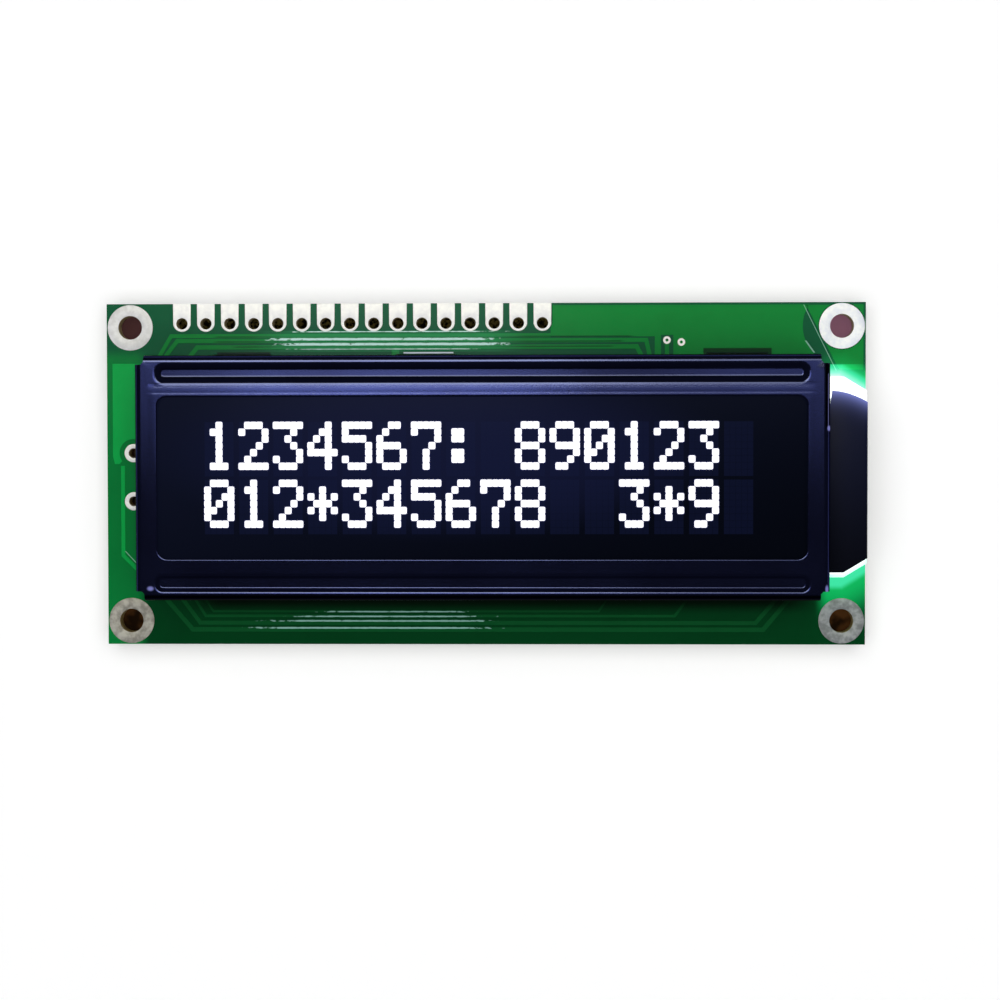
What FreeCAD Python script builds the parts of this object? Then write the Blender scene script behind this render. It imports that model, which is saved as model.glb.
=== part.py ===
import FreeCAD, Part
import math
import os

# Character display module, two lines of sixteen characters, in millimetres.
# The origin is the centre of the four mounting holes on the board's rear face.
# +X runs along the module away from the first header hole, +Y towards the header row, +Z out of the display.

# Circuit board
BOARD_LENGTH = 80.0
BOARD_WIDTH = 36.0
BOARD_THICKNESS = 1.6
COPPER = 0.05  # rise of every conductor with its tin or lacquer
PLATING = 0.05  # wall of a plated barrel
COPPER_GAP = 0.12  # least bare board between a conductor and its neighbours
PAST = 1.0  # cutters run this far past what they cut
PAD_SIDES = 10  # flats round the rim and bore of a small tinned pad
LAND_SIDES = 16  # the same for a mounting land

# Mounting holes, one in each corner
MOUNT_INSET = 2.5  # hole centre to both board edges
MOUNT_HOLE_R = 1.25
MOUNT_LAND_R = 2.4
MOUNT_KEEPOUT_R = 4.1  # the top right pour stays this far from its hole

# Header row
HEADER_COUNT = 16
HEADER_PITCH = 2.54
HEADER_FIRST = 8.0  # first hole centre to the left board edge
HEADER_INSET = 2.1  # row centre to the top board edge
HEADER_HOLE_R = 0.6
HEADER_PAD_WIDTH = 1.88

# Lamp pads, one pair at each end of the bezel
LAMP_PAD_OUT = 1.45  # pad centres past the bezel's ends
LAMP_PAD_PITCH = 5.1
LAMP_PAD_R = 0.97
LAMP_HOLE_R = 0.52

# Folded sheet bezel
BEZEL_FROM_LEFT = 4.25  # bezel to the board's left, right, top and bottom edges
BEZEL_FROM_RIGHT = 4.55
BEZEL_FROM_TOP = 5.7
BEZEL_FROM_BOTTOM = 5.1
BEZEL_HEIGHT = 7.0  # front face above the board
SHEET = 0.4
BEND_R = 0.9  # outside of the four long bends
FRAME_END = 2.35  # window to the bezel's ends
FRAME_SIDE = 4.3  # window to the bezel's long sides
WINDOW_CORNER_R = 1.0
WINDOW_EDGE_BREAK = 0.1
RIB_INSET = 1.82  # rib centre line to the bezel's long edge
RIB_END_INSET = 1.95  # rib to the bezel's ends
RIB_DEPTH = 0.4
RIB_FLOOR = 0.6  # flat width at the bottom of the rib
RIB_WALL_RUN = 0.67  # width of each sloping wall
RIB_SKIN = 0.11  # sideways growth of the rib's rear face over its front face
TABS_FROM_LEFT = [10.1, 29.6]  # tab centres from the bezel's left end
TABS_FROM_RIGHT = [8.9]  # and from its right end
TAB_WIDTH = 5.2
TAB_BEND_R = 0.2  # inside of the bend behind the board
TAB_REACH = 2.0  # flat of the tab behind the board
TAB_TAPER = 0.6
SLOT_END_GAP = 0.5
SLOT_SIDE_GAP = 0.35
PASSAGE_HEAD = 0.6  # room over the lamp house where it leaves the bezel
PASSAGE_GAP = 0.3  # each side of the lamp house

# Display cell
GLASS_THICKNESS = 1.1
GLASS_END_GAP = 0.5  # bezel wall to glass, at the two ends
GLASS_SIDE_GAP = 0.3  # bezel wall to glass, along the two long sides
GLASS_LEDGE = 2.2  # front glass past the rear glass on each long side
CELL_GAP = 0.1
SEAL_WIDTH = 1.0
SEAL_INSET = 0.4
POLARISER = 0.2
FRONT_POLARISER_INSET = (0.8, 2.7)  # from the front glass's ends and sides
REAR_POLARISER_INSET = (0.8, 1.1)  # from the rear glass's ends and sides

# Elastomer strips between the board's fingers and the front glass's ledges
STRIP_WIDTH = 1.8
STRIP_END_INSET = 1.7  # strip inside the front glass's ends
STRIP_GLASS_GAP = 0.2  # strip to the rear glass
FINGER_PITCH = 3.9
FINGER_SIZE = (2.6, 1.5)

# Light holder, with the lamp house that stands out of the bezel's right end
HOLDER_END_GAP = 0.3  # bezel wall to holder, at the left end
HOLDER_WALL = 0.7
HOLDER_FLOOR = 0.25
REFLECTOR = 0.15
DIFFUSER = 0.15
LIGHT_GUIDE_GAP = 0.15  # sheets and light guide to the holder's walls
HOUSE_START_GAP = 0.3  # rear glass to lamp house
HOUSE_REACH = 4.1  # lamp house past the bezel's right face
HOUSE_SIDE_INSET = 2.25  # lamp house inside the bezel's long sides
HOUSE_RISE = 0.2  # house top above the rear glass's seat
HOUSE_FLAT = 1.7  # length of the straight sides past the bezel, before the corners are cut back
HOUSE_CORNER_BACK = 1.45
HOUSE_EDGE_R = 0.25
HOUSE_SIDE_WALL = 1.75

# Lamps
LAMP_STRIP_THICKNESS = 0.6
LAMP_STRIP_MARGIN = 0.4
LED_COUNT = 3
LED_END_GAP = 0.8  # outer lamps to the strip's ends
LED_SIZE = (1.1, 2.8, 1.9)
LED_LENS = (0.15, 2.0, 1.2)
LED_GUIDE_GAP = 0.15
LEAD_WIDTH = 0.5  # square lead
LEAD_BELOW = 1.2  # lead end below the board
LEAD_ABOVE = 0.5  # lead end above the lamp strip
LEAD_HOLE_GAP = 0.05
SOLDER_R = 0.85
SOLDER_HEIGHT = 0.8

# Opaque tape over the lamp house
TAPE = 0.1
TAPE_UNDER_LIP = 0.35  # tape under the bezel's lip
TAPE_LOWER_INSET = 0.5  # lower tape edge inside the house's edge
TAPE_UPPER_NEAR = 1.45  # upper tape edge below the house's upper side, near the bezel
TAPE_UPPER_FAR = 2.65  # the same, at the far side
TAPE_GAPE_START = 5.45  # from this far below the house's upper side the tape stands off the bezel
TAPE_GAPE = 0.75  # at the upper end
TAPE_GAPE_FOOT = 0.25  # where it starts
TAPE_BOW = 0.22  # bulge of the upper end
TAPE_FOOT_GAP = 0.7  # tape's far hem above the board

# Controllers under resin, behind the board
BLOBS = {"controller": (-16.5, 1.6, 7.4), "driver": (14.5, -2.4, 6.6)}
BLOB_HEIGHT = 1.3
BLOB_PROFILE = [(0.5, 1.0), (0.92, 0.5), (1.0, 0)]  # share of the radius, share of the height
DIE_SIZE = (3.2, 2.6, 0.4)

# Chip parts behind the board: name, place along the board, the row of tabs that it lies near (1 upper,
# -1 lower), how far it lies from the tabs' tips, and whether it lies across the board
CHIP_PARTS = [
    ("resistor_1", -1.8, 1, 2.5, True),
    ("resistor_2", 0.4, 1, 2.5, True),
    ("resistor_3", 2.6, 1, 2.5, True),
    ("resistor_4", -1.8, -1, 1.9, True),
    ("resistor_5", 25.5, 1, 3.3, False),
    ("capacitor_1", 25.5, 1, 6.1, False),
]
CHIP_SIZE = {"resistor": (2.0, 1.25, 0.5), "capacitor": (2.0, 1.25, 0.9)}
CHIP_CAP = 0.4
CHIP_CAP_RISE = 0.04
CHIP_LAND_MARGIN = 0.3

# Tracks on the front face: edge that they follow (1 top, -1 bottom), width, run's inset from that edge,
# then how far in from the board's ends are the left foot, the left bend, the right bend and the right foot
FRONT_TRACKS = [
    (1, 0.45, 3.92, 5.8, 7.5, 23.0, 22.5),
    (1, 0.47, 4.6, 8.4, 9.6, 24.0, 23.2),
    (-1, 0.5, 1.56, 5.6, 9.0, 10.7, 7.4),
    (-1, 0.45, 2.27, 7.4, 9.8, 11.5, 8.7),
    (-1, 0.3, 3.0, 8.8, 10.4, 20.0, 18.1),
    (-1, 0.25, 3.5, 9.9, 11.2, 28.0, 26.6),
]
TUCK = 0.4  # tracks and pours reach this far under the bezel
POUR_TRACK = (0.42, 3.4, 5.25, 6.85)  # width, inset, left foot, left bend; its right end joins the pour
STUB = (0.6, 30.5, 4.8)  # width, place from the left end, upper end below the top edge
VIA_DROP = (0.45, 20.82, 3.94)  # width, place from the right end, upper end below the top edge
LEFT_RAIL = (0.42, 1.65, 9.4)  # width, place from the left end, bend above the bottom edge
RAIL_START = 1.35  # rail's upper end below the upper left lamp pad

# Pours on the front face
POUR_EDGE = 0.25  # pour back from the board's edges
UPPER_POUR_START = 0.85  # from the last header hole
UPPER_POUR_STEP = (22.1, 3.55)  # left of this the pour stays above the tracks
VIA_WELL = (21.45, 20.15, 3.4)  # bare slot in the pour: its two sides and its upper end
CORNER_POUR = [(6.25, 0.3), (5.1, 2.6), (2.8, 7.1)]  # slanted side, from the top right corner
LEFT_POUR_INSET = 0.6  # from the left end
LEFT_POUR_TOP = 6.3  # below the top edge
LEFT_POUR_TIP = [(1.6, 1.75), (-0.8, -0.35), (-1.5, -1.15), (-2.0, -1.15)]  # from the upper left lamp pad
LEFT_POUR_KEEPOUT_R = 1.5

# Places worked out from the sizes above
V = FreeCAD.Vector
BOARD_TOP = BOARD_THICKNESS
TOP_EDGE = BOARD_WIDTH / 2
RIGHT_END = BOARD_LENGTH / 2
HOLE_X = RIGHT_END - MOUNT_INSET
HOLE_Y = TOP_EDGE - MOUNT_INSET
HEADER_Y = TOP_EDGE - HEADER_INSET
HEADER_X0 = HEADER_FIRST - RIGHT_END
HEADER_END = HEADER_X0 + (HEADER_COUNT - 1) * HEADER_PITCH
UPPER_POUR_LENGTH = RIGHT_END - HEADER_END - UPPER_POUR_START
BEZEL_LENGTH = BOARD_LENGTH - BEZEL_FROM_LEFT - BEZEL_FROM_RIGHT
BEZEL_WIDTH = BOARD_WIDTH - BEZEL_FROM_TOP - BEZEL_FROM_BOTTOM
BX = (BEZEL_FROM_LEFT - BEZEL_FROM_RIGHT) / 2
BY = (BEZEL_FROM_BOTTOM - BEZEL_FROM_TOP) / 2
BEZEL_LEFT = BX - BEZEL_LENGTH / 2
BEZEL_RIGHT = BX + BEZEL_LENGTH / 2
BEZEL_FOOT = BOARD_TOP + COPPER
BEZEL_TOP = BOARD_TOP + BEZEL_HEIGHT
GLASS_HALF_X = BEZEL_LENGTH / 2 - SHEET - GLASS_END_GAP
GLASS_HALF_Y = BEZEL_WIDTH / 2 - SHEET - GLASS_SIDE_GAP
REAR_GLASS_HALF_Y = GLASS_HALF_Y - GLASS_LEDGE
FRONT_GLASS_TOP = BEZEL_TOP - RIB_DEPTH - SHEET
FRONT_GLASS_LOW = FRONT_GLASS_TOP - GLASS_THICKNESS
REAR_GLASS_TOP = FRONT_GLASS_LOW - CELL_GAP
REAR_GLASS_LOW = REAR_GLASS_TOP - GLASS_THICKNESS
HOLDER_LEFT = BEZEL_LEFT + SHEET + HOLDER_END_GAP
HOUSE_LEFT = BX + GLASS_HALF_X + HOUSE_START_GAP
HOUSE_RIGHT = BEZEL_RIGHT + HOUSE_REACH
HOUSE_HALF_WIDTH = BEZEL_WIDTH / 2 - HOUSE_SIDE_INSET
HOUSE_POCKET_HALF = HOUSE_HALF_WIDTH - HOUSE_SIDE_WALL
HOUSE_TOP = REAR_GLASS_LOW + HOUSE_RISE
POCKET_HALF_Y = REAR_GLASS_HALF_Y - HOLDER_WALL
POCKET_LEFT = HOLDER_LEFT + HOLDER_WALL
POCKET_RIGHT = HOUSE_RIGHT - HOLDER_WALL
POCKET_LOW = BOARD_TOP + HOLDER_FLOOR
GUIDE_LOW = POCKET_LOW + REFLECTOR
REAR_POLARISER_LOW = REAR_GLASS_LOW - POLARISER
DIFFUSER_LOW = REAR_POLARISER_LOW - DIFFUSER
LAMP_X = BEZEL_RIGHT + LAMP_PAD_OUT
LED_BACK = LAMP_X - LEAD_WIDTH / 2 - LEAD_HOLE_GAP
LED_FRONT = LED_BACK - LED_SIZE[0]
GUIDE_RIGHT = LED_FRONT - LED_LENS[0] - LED_GUIDE_GAP
STRIP_TOP = POCKET_LOW + LAMP_STRIP_THICKNESS
LAMP_PADS = [
    (x, BY + side * LAMP_PAD_PITCH / 2) for x in (BEZEL_LEFT - LAMP_PAD_OUT, LAMP_X) for side in (1, -1)
]
TAB_TIP = BEZEL_WIDTH / 2 - SHEET - TAB_BEND_R - TAB_REACH  # from the bezel's middle line
TAB_CENTRES = [BEZEL_LEFT + x for x in TABS_FROM_LEFT] + [BEZEL_RIGHT - x for x in TABS_FROM_RIGHT]
STRIP_LENGTH = 2 * (GLASS_HALF_X - STRIP_END_INSET)
STRIP_CENTRE = REAR_GLASS_HALF_Y + STRIP_GLASS_GAP + STRIP_WIDTH / 2  # from the bezel's middle line


def polar(centre, r, degrees):
    """Point at an angle round a centre."""
    a = math.radians(degrees)
    return centre[0] + r * math.cos(a), centre[1] + r * math.sin(a)


def block(x0, x1, y0, y1, z0, z1):
    """Box between two corners."""
    return Part.makeBox(x1 - x0, y1 - y0, z1 - z0, V(x0, y0, z0))


def slab(half_x, half_y, z0, z1, x=BX, y=BY):
    """Plate centred on the bezel, or on another point."""
    return block(x - half_x, x + half_x, y - half_y, y + half_y, z0, z1)


def band(x0, x1, half_y, z0, z1):
    """Plate between two lengthwise places, centred on the bezel's long middle line."""
    return block(x0, x1, BY - half_y, BY + half_y, z0, z1)


def disc(r, x, y, z0, z1):
    """Upright cylinder."""
    return Part.makeCylinder(r, z1 - z0, V(x, y, z0))


def face_of(edges):
    """Flat face inside a closed run of edges."""
    return Part.Face(Part.Wire(edges))


def lines(points):
    """Straight edges through points, in order."""
    return [Part.LineSegment(a, b).toShape() for a, b in zip(points, points[1:])]


def arc(a, middle, b):
    """Arc edge through three points."""
    return Part.Arc(a, middle, b).toShape()


def prism(points, z0, z1):
    """Upright prism over a closed outline of (x, y) points."""
    ring = [V(x, y, z0) for x, y in points]
    return face_of(lines(ring + ring[:1])).extrude(V(0, 0, z1 - z0))


def rim_points(r, sides, x, y, start=0, sweep=360):
    """Corners of a many-sided rim, or of the part of it between two angles, ends included."""
    steps = sides if sweep == 360 else round(sides * sweep / 360) + 1
    return [polar((x, y), r, start + i * 360 / sides) for i in range(steps)]


def rim(r, sides, x, y, z0, z1):
    """Upright many-sided disc."""
    return prism(rim_points(r, sides, x, y), z0, z1)


def ribbon(points, width, z0, z1):
    """Track of one width along points, with mitred corners."""
    left, right = [], []
    for i, (x, y) in enumerate(points):
        ways = []
        for a, b in ((i - 1, i), (i, i + 1)):
            if a >= 0 and b < len(points):
                dx, dy = points[b][0] - points[a][0], points[b][1] - points[a][1]
                span = math.hypot(dx, dy)
                ways.append((-dy / span, dx / span))
        nx, ny = sum(w[0] for w in ways), sum(w[1] for w in ways)
        scale = width / 2 / (nx * ways[0][0] + ny * ways[0][1])
        left.append((x + nx * scale, y + ny * scale))
        right.append((x - nx * scale, y - ny * scale))
    return prism(left + right[::-1], z0, z1)


def circuit_board():
    """Laminate with its mounting, header, lamp and via holes and the slots for the bezel's tabs."""
    board = block(-RIGHT_END, RIGHT_END, -TOP_EDGE, TOP_EDGE, 0, BOARD_TOP)
    holes = [disc(MOUNT_HOLE_R + PLATING, x, y, 0, BOARD_TOP) for x, y in mount_places()]
    holes += [disc(HEADER_HOLE_R + PLATING, x, HEADER_Y, 0, BOARD_TOP) for x in header_places()]
    holes += [disc(LAMP_HOLE_R + PLATING, x, y, 0, BOARD_TOP) for x, y in LAMP_PADS]
    holes += tab_slots(0)
    return board.cut(Part.makeCompound(holes))


def mount_places():
    """Centres of the four mounting holes."""
    return [(x, y) for y in (HOLE_Y, -HOLE_Y) for x in (-HOLE_X, HOLE_X)]


def header_places():
    """X of each header hole."""
    return [HEADER_X0 + i * HEADER_PITCH for i in range(HEADER_COUNT)]


def tab_slots(grow):
    """Slots through the board for the bezel's tabs, or the room round them when grow is more than 0."""
    half_length = TAB_WIDTH / 2 + SLOT_END_GAP + grow
    inner = BEZEL_WIDTH / 2 - SHEET - SLOT_SIDE_GAP - grow
    outer = BEZEL_WIDTH / 2 + SLOT_SIDE_GAP + grow
    slots = []
    for x in TAB_CENTRES:
        x0, x1 = x - half_length, x + half_length
        for y0, y1 in ((BY + inner, BY + outer), (BY - outer, BY - inner)):
            slots.append(block(x0, x1, y0, y1, -COPPER, BOARD_TOP + 2 * COPPER))
    return slots


def plated_ring(outer, hole, sides, x, y):
    """Round land on both faces with its plated barrel, in one piece."""
    front = rim(outer, sides, x, y, BOARD_TOP, BOARD_TOP + COPPER)
    rear = rim(outer, sides, x, y, -COPPER, 0)
    barrel = rim(hole + PLATING, sides, x, y, 0, BOARD_TOP)
    return front.multiFuse([barrel, rear]).cut(rim(hole, sides, x, y, -COPPER, BOARD_TOP + COPPER))


def header_pad(x):
    """Pad on both faces that runs from the board's top edge round the header hole, with its plated barrel."""
    half = HEADER_PAD_WIDTH / 2
    outline = rim_points(half, PAD_SIDES, x, HEADER_Y, 180, 180)
    outline += [(x + half, TOP_EDGE), (x - half, TOP_EDGE)]
    barrel = rim(HEADER_HOLE_R + PLATING, PAD_SIDES, x, HEADER_Y, 0, BOARD_TOP)
    pad = prism(outline, BOARD_TOP, BOARD_TOP + COPPER).multiFuse([barrel, prism(outline, -COPPER, 0)])
    return pad.cut(rim(HEADER_HOLE_R, PAD_SIDES, x, HEADER_Y, -COPPER, BOARD_TOP + COPPER))


def front_keepouts():
    """Room that the front tracks and pours leave round pads, lands, vias and tab slots."""
    z0, z1 = BOARD_TOP - COPPER, BOARD_TOP + 2 * COPPER
    half = HEADER_PAD_WIDTH / 2 + COPPER_GAP
    rooms = [rim(MOUNT_LAND_R + COPPER_GAP, LAND_SIDES, x, y, z0, z1) for x, y in mount_places()]
    for x in header_places():
        rooms.append(block(x - half, x + half, HEADER_Y, TOP_EDGE + COPPER_GAP, z0, z1))
        rooms.append(rim(half, PAD_SIDES, x, HEADER_Y, z0, z1))
    rooms += [rim(LAMP_PAD_R + COPPER_GAP, PAD_SIDES, x, y, z0, z1) for x, y in LAMP_PADS]
    return rooms + tab_slots(COPPER_GAP)


def from_corner(points, end, side):
    """Points measured inwards from one of the board's corners, as places on the board."""
    return [(end * (RIGHT_END - x), side * (TOP_EDGE - y)) for x, y in points]


def bezel_tuck(side):
    """How far in from the board's top or bottom edge the front copper ends under the bezel."""
    return (BEZEL_FROM_TOP if side > 0 else BEZEL_FROM_BOTTOM) + TUCK


def upper_pour():
    """Broad pour along the top edge, with a clear arc round the mounting hole and a slot round the vias."""
    z0, z1 = BOARD_TOP, BOARD_TOP + COPPER
    step_x, step_y = UPPER_POUR_STEP
    low = bezel_tuck(1)
    outline = [(UPPER_POUR_LENGTH, POUR_EDGE), (POUR_EDGE, POUR_EDGE), (POUR_EDGE, low), (step_x, low)]
    outline += [(step_x, step_y), (UPPER_POUR_LENGTH, step_y)]
    well_left, well_right, well_top = VIA_WELL
    well = [(well_left, well_top), (well_right, well_top), (well_right, low + PAST), (well_left, low + PAST)]
    pour = prism(from_corner(outline, 1, 1), z0, z1)
    pour = pour.cut(disc(MOUNT_KEEPOUT_R, HOLE_X, HOLE_Y, z0 - COPPER, z1 + COPPER))
    pour = pour.cut([prism(from_corner(well, 1, 1), z0 - COPPER, z1 + COPPER)] + front_keepouts())
    return max(pour.Solids, key=lambda s: s.Volume)


def corner_pour():
    """Pour in the top right corner, between its slanted side and the board's right edge."""
    low = CORNER_POUR[-1][1]
    outline = from_corner(CORNER_POUR + [(POUR_EDGE, low), (POUR_EDGE, POUR_EDGE)], 1, 1)
    return prism(outline, BOARD_TOP, BOARD_TOP + COPPER).cut(front_keepouts())


def left_pour():
    """Pour along the left edge that ends in a tip beside the upper left lamp pad."""
    z0, z1 = BOARD_TOP, BOARD_TOP + COPPER
    pad_x, pad_y = LAMP_PADS[0]
    left, top = LEFT_POUR_INSET - RIGHT_END, TOP_EDGE - LEFT_POUR_TOP
    tip = [(pad_x + dx, pad_y + dy) for dx, dy in LEFT_POUR_TIP]
    outline = [(left, top), (tip[0][0], top)] + tip + [(left, tip[1][1])]
    keepout = disc(LEFT_POUR_KEEPOUT_R, pad_x, pad_y, z0 - COPPER, z1 + COPPER)
    return prism(outline, z0, z1).cut(front_keepouts() + [keepout])


def front_pours():
    """Broad copper areas on the front face."""
    return Part.makeCompound([upper_pour()] + corner_pour().Solids + left_pour().Solids)


def track_lines():
    """Width and points of each track on the front face."""
    found = []
    for side, width, inset, left_foot, left_bend, right_bend, right_foot in FRONT_TRACKS:
        foot = bezel_tuck(side)
        left = from_corner([(left_foot, foot), (left_bend, inset)], -1, side)
        found.append((width, left + from_corner([(right_bend, inset), (right_foot, foot)], 1, side)))
    width, inset, left_foot, left_bend = POUR_TRACK
    left = from_corner([(left_foot, bezel_tuck(1)), (left_bend, inset)], -1, 1)
    found.append((width, left + from_corner([(UPPER_POUR_LENGTH, inset)], 1, 1)))
    width, place, top = STUB
    found.append((width, from_corner([(place, top), (place, bezel_tuck(1))], -1, 1)))
    width, place, top = VIA_DROP
    found.append((width, from_corner([(place, top), (place, bezel_tuck(1))], 1, 1)))
    width, place, bend = LEFT_RAIL
    x, y = place - RIGHT_END, bend - TOP_EDGE
    run = BEZEL_LEFT + TUCK - x
    found.append((width, [(x, LAMP_PADS[0][1] - RAIL_START), (x, y), (x + run, y - run)]))
    return found


def front_tracks():
    """Tracks on the front face, cut back from every pad, slot and pour."""
    z0, z1 = BOARD_TOP, BOARD_TOP + COPPER
    tracks = [ribbon(points, width, z0, z1) for width, points in track_lines()]
    joined = tracks[0].multiFuse(tracks[1:]).removeSplitter()
    return Part.makeCompound(joined.cut(front_keepouts() + front_pours().Solids).Solids)


def contact_fingers():
    """Rows of board contacts under the two elastomer strips."""
    half_x, half_y = FINGER_SIZE[0] / 2, FINGER_SIZE[1] / 2
    count = int(STRIP_LENGTH / FINGER_PITCH)
    fingers = []
    for side in (-1, 1):
        for i in range(count):
            x, y = BX + (i - (count - 1) / 2) * FINGER_PITCH, BY + side * STRIP_CENTRE
            fingers.append(slab(half_x, half_y, BOARD_TOP, BOARD_TOP + COPPER, x, y))
    return Part.makeCompound(fingers)


def channel(half_width, half_run, along_x):
    """Folded channel: the front web, two bends and two flanges down to the board."""
    run = V(1, 0, 0) if along_x else V(0, 1, 0)
    start = run * ((BX if along_x else BY) - half_run)
    inner_r = BEND_R - SHEET

    def at(u, z):
        return start + (V(0, BY + u, z) if along_x else V(BX + u, 0, z))

    def corner(side, r):
        centre = (side * (half_width - BEND_R), BEZEL_TOP - BEND_R)
        return [at(*polar(centre, r, 90 - side * turn)) for turn in (0, 45, 90)]

    right_out, left_out = corner(1, BEND_R), corner(-1, BEND_R)
    right_in, left_in = corner(1, inner_r), corner(-1, inner_r)
    right_foot = [at(half_width, BEZEL_FOOT), at(half_width - SHEET, BEZEL_FOOT)]
    left_foot = [at(SHEET - half_width, BEZEL_FOOT), at(-half_width, BEZEL_FOOT)]
    edges = lines([left_out[0], right_out[0]]) + [arc(*right_out)]
    edges += lines([right_out[2]] + right_foot + [right_in[2]]) + [arc(*right_in)]
    edges += lines([right_in[0], left_in[0]]) + [arc(*left_in)]
    edges += lines([left_in[2]] + left_foot + [left_out[2]]) + [arc(*left_out)]
    return face_of(edges).extrude(run * (2 * half_run))


def rib_section(centre_y, x, cutting):
    """Half section of a rib, from its centre line outwards: its front face when cutting, or its rear skin."""
    floor_edge = RIB_FLOOR / 2 + (0 if cutting else RIB_SKIN)
    wall_edge = floor_edge + RIB_WALL_RUN
    top = BEZEL_TOP if cutting else BEZEL_TOP - SHEET
    low = top - RIB_DEPTH
    roof = top + SHEET / 2
    outline = [(0, low), (floor_edge, low), (wall_edge, top), (wall_edge, roof), (0, roof), (0, low)]
    return face_of(lines([V(x, centre_y + u, z) for u, z in outline]))


def rib_form(centre_y, cutting):
    """Rib with straight sides and round ends."""
    reach = RIB_FLOOR / 2 + RIB_WALL_RUN
    half_run = BEZEL_LENGTH / 2 - RIB_END_INSET - reach
    half = rib_section(centre_y, BX - half_run, cutting)
    other = half.mirror(V(0, centre_y, 0), V(0, 1, 0))
    parts = [face.extrude(V(2 * half_run, 0, 0)) for face in (half, other)]
    for side in (-1, 1):
        section = rib_section(centre_y, BX + side * half_run, cutting)
        parts.append(section.revolve(V(BX + side * half_run, centre_y, 0), V(0, 0, 1), -side * 180))
    return parts[0].multiFuse(parts[1:]).removeSplitter()


def bezel_tab(centre_x, side):
    """Tab that goes through the board and is folded flat behind it."""
    outer = BEZEL_WIDTH / 2
    inner = outer - SHEET
    centre = (inner - TAB_BEND_R, TAB_BEND_R)
    x0 = centre_x - TAB_WIDTH / 2

    def at(u, z):
        return V(x0, BY + side * u, z)

    root = BEZEL_FOOT + SHEET
    outside = [at(*polar(centre, TAB_BEND_R + SHEET, -turn)) for turn in (0, 45, 90)]
    inside = [at(*polar(centre, TAB_BEND_R, -turn)) for turn in (90, 45, 0)]
    edges = lines([at(inner, root), at(outer, root), outside[0]])
    edges.append(arc(*outside))
    edges += lines([outside[2], at(TAB_TIP, -SHEET), at(TAB_TIP, 0), inside[0]])
    edges.append(arc(*inside))
    edges += lines([inside[2], at(inner, root)])
    tab = face_of(edges).extrude(V(TAB_WIDTH, 0, 0))
    for end in (-1, 1):
        x = centre_x + end * TAB_WIDTH / 2
        tip_y = BY + side * TAB_TIP
        corner = [(x, tip_y + side * TAB_TAPER), (x, tip_y), (x - end * TAB_TAPER, tip_y)]
        tab = tab.cut(prism(corner, -2 * SHEET, SHEET / 2))
    return tab


def bezel():
    """Sheet bezel: front web, four flanges with open corners, two ribs, the window and the folded tabs."""
    flat_x, flat_y = BEZEL_LENGTH / 2 - BEND_R, BEZEL_WIDTH / 2 - BEND_R
    shell = channel(BEZEL_WIDTH / 2, flat_x, True).fuse(channel(BEZEL_LENGTH / 2, flat_y, False))
    rib_lines = [BY + side * (BEZEL_WIDTH / 2 - RIB_INSET) for side in (-1, 1)]
    shell = shell.multiFuse([rib_form(y, False) for y in rib_lines]).removeSplitter()
    shell = shell.cut([rib_form(y, True) for y in rib_lines])
    shell = with_window(shell)
    passage_half, passage_top = HOUSE_HALF_WIDTH + PASSAGE_GAP, HOUSE_TOP + PASSAGE_HEAD
    shell = shell.cut(band(HOUSE_LEFT, BEZEL_RIGHT + SHEET, passage_half, BOARD_TOP, passage_top))
    tabs = [bezel_tab(x, side) for x in TAB_CENTRES for side in (-1, 1)]
    return shell.multiFuse(tabs).removeSplitter()


def with_window(shell):
    """Web with the window cut out, its corners rounded and its front edge broken all round."""
    half_x, half_y = BEZEL_LENGTH / 2 - FRAME_END, BEZEL_WIDTH / 2 - FRAME_SIDE
    opening = slab(half_x, half_y, BEZEL_TOP - 2 * SHEET, BEZEL_TOP + SHEET)
    upright = [e for e in opening.Edges if e.BoundBox.ZLength > SHEET]
    opening = opening.makeFillet(WINDOW_CORNER_R, upright)
    shell = shell.cut(opening)
    reach = FreeCAD.BoundBox(opening.BoundBox)
    reach.enlarge(SHEET / 4)
    front = [e for e in shell.Edges if e.BoundBox.ZMin > BEZEL_TOP - SHEET / 4 and reach.isInside(e.BoundBox)]
    return shell.makeChamfer(WINDOW_EDGE_BREAK, front)


def house_outline(z0, z1):
    """Lamp house plan: straight sides out of the bezel, then corners cut back to the far edge."""
    flat_end = BEZEL_RIGHT + HOUSE_FLAT
    wide, narrow = HOUSE_HALF_WIDTH, HOUSE_HALF_WIDTH - HOUSE_CORNER_BACK
    upper = [(HOUSE_LEFT, wide), (flat_end, wide), (HOUSE_RIGHT, narrow)]
    points = [(x, BY + y) for x, y in upper] + [(x, BY - y) for x, y in upper[::-1]]
    return prism(points, z0, z1)


def far_top_edge(shape, x):
    """Edges of a shape that lie along Y at its far top corner."""
    top = shape.BoundBox.ZMax
    return [e for e in shape.Edges if e.BoundBox.XMin > x - 1e-4 and e.BoundBox.ZMin > top - 1e-4]


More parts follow.
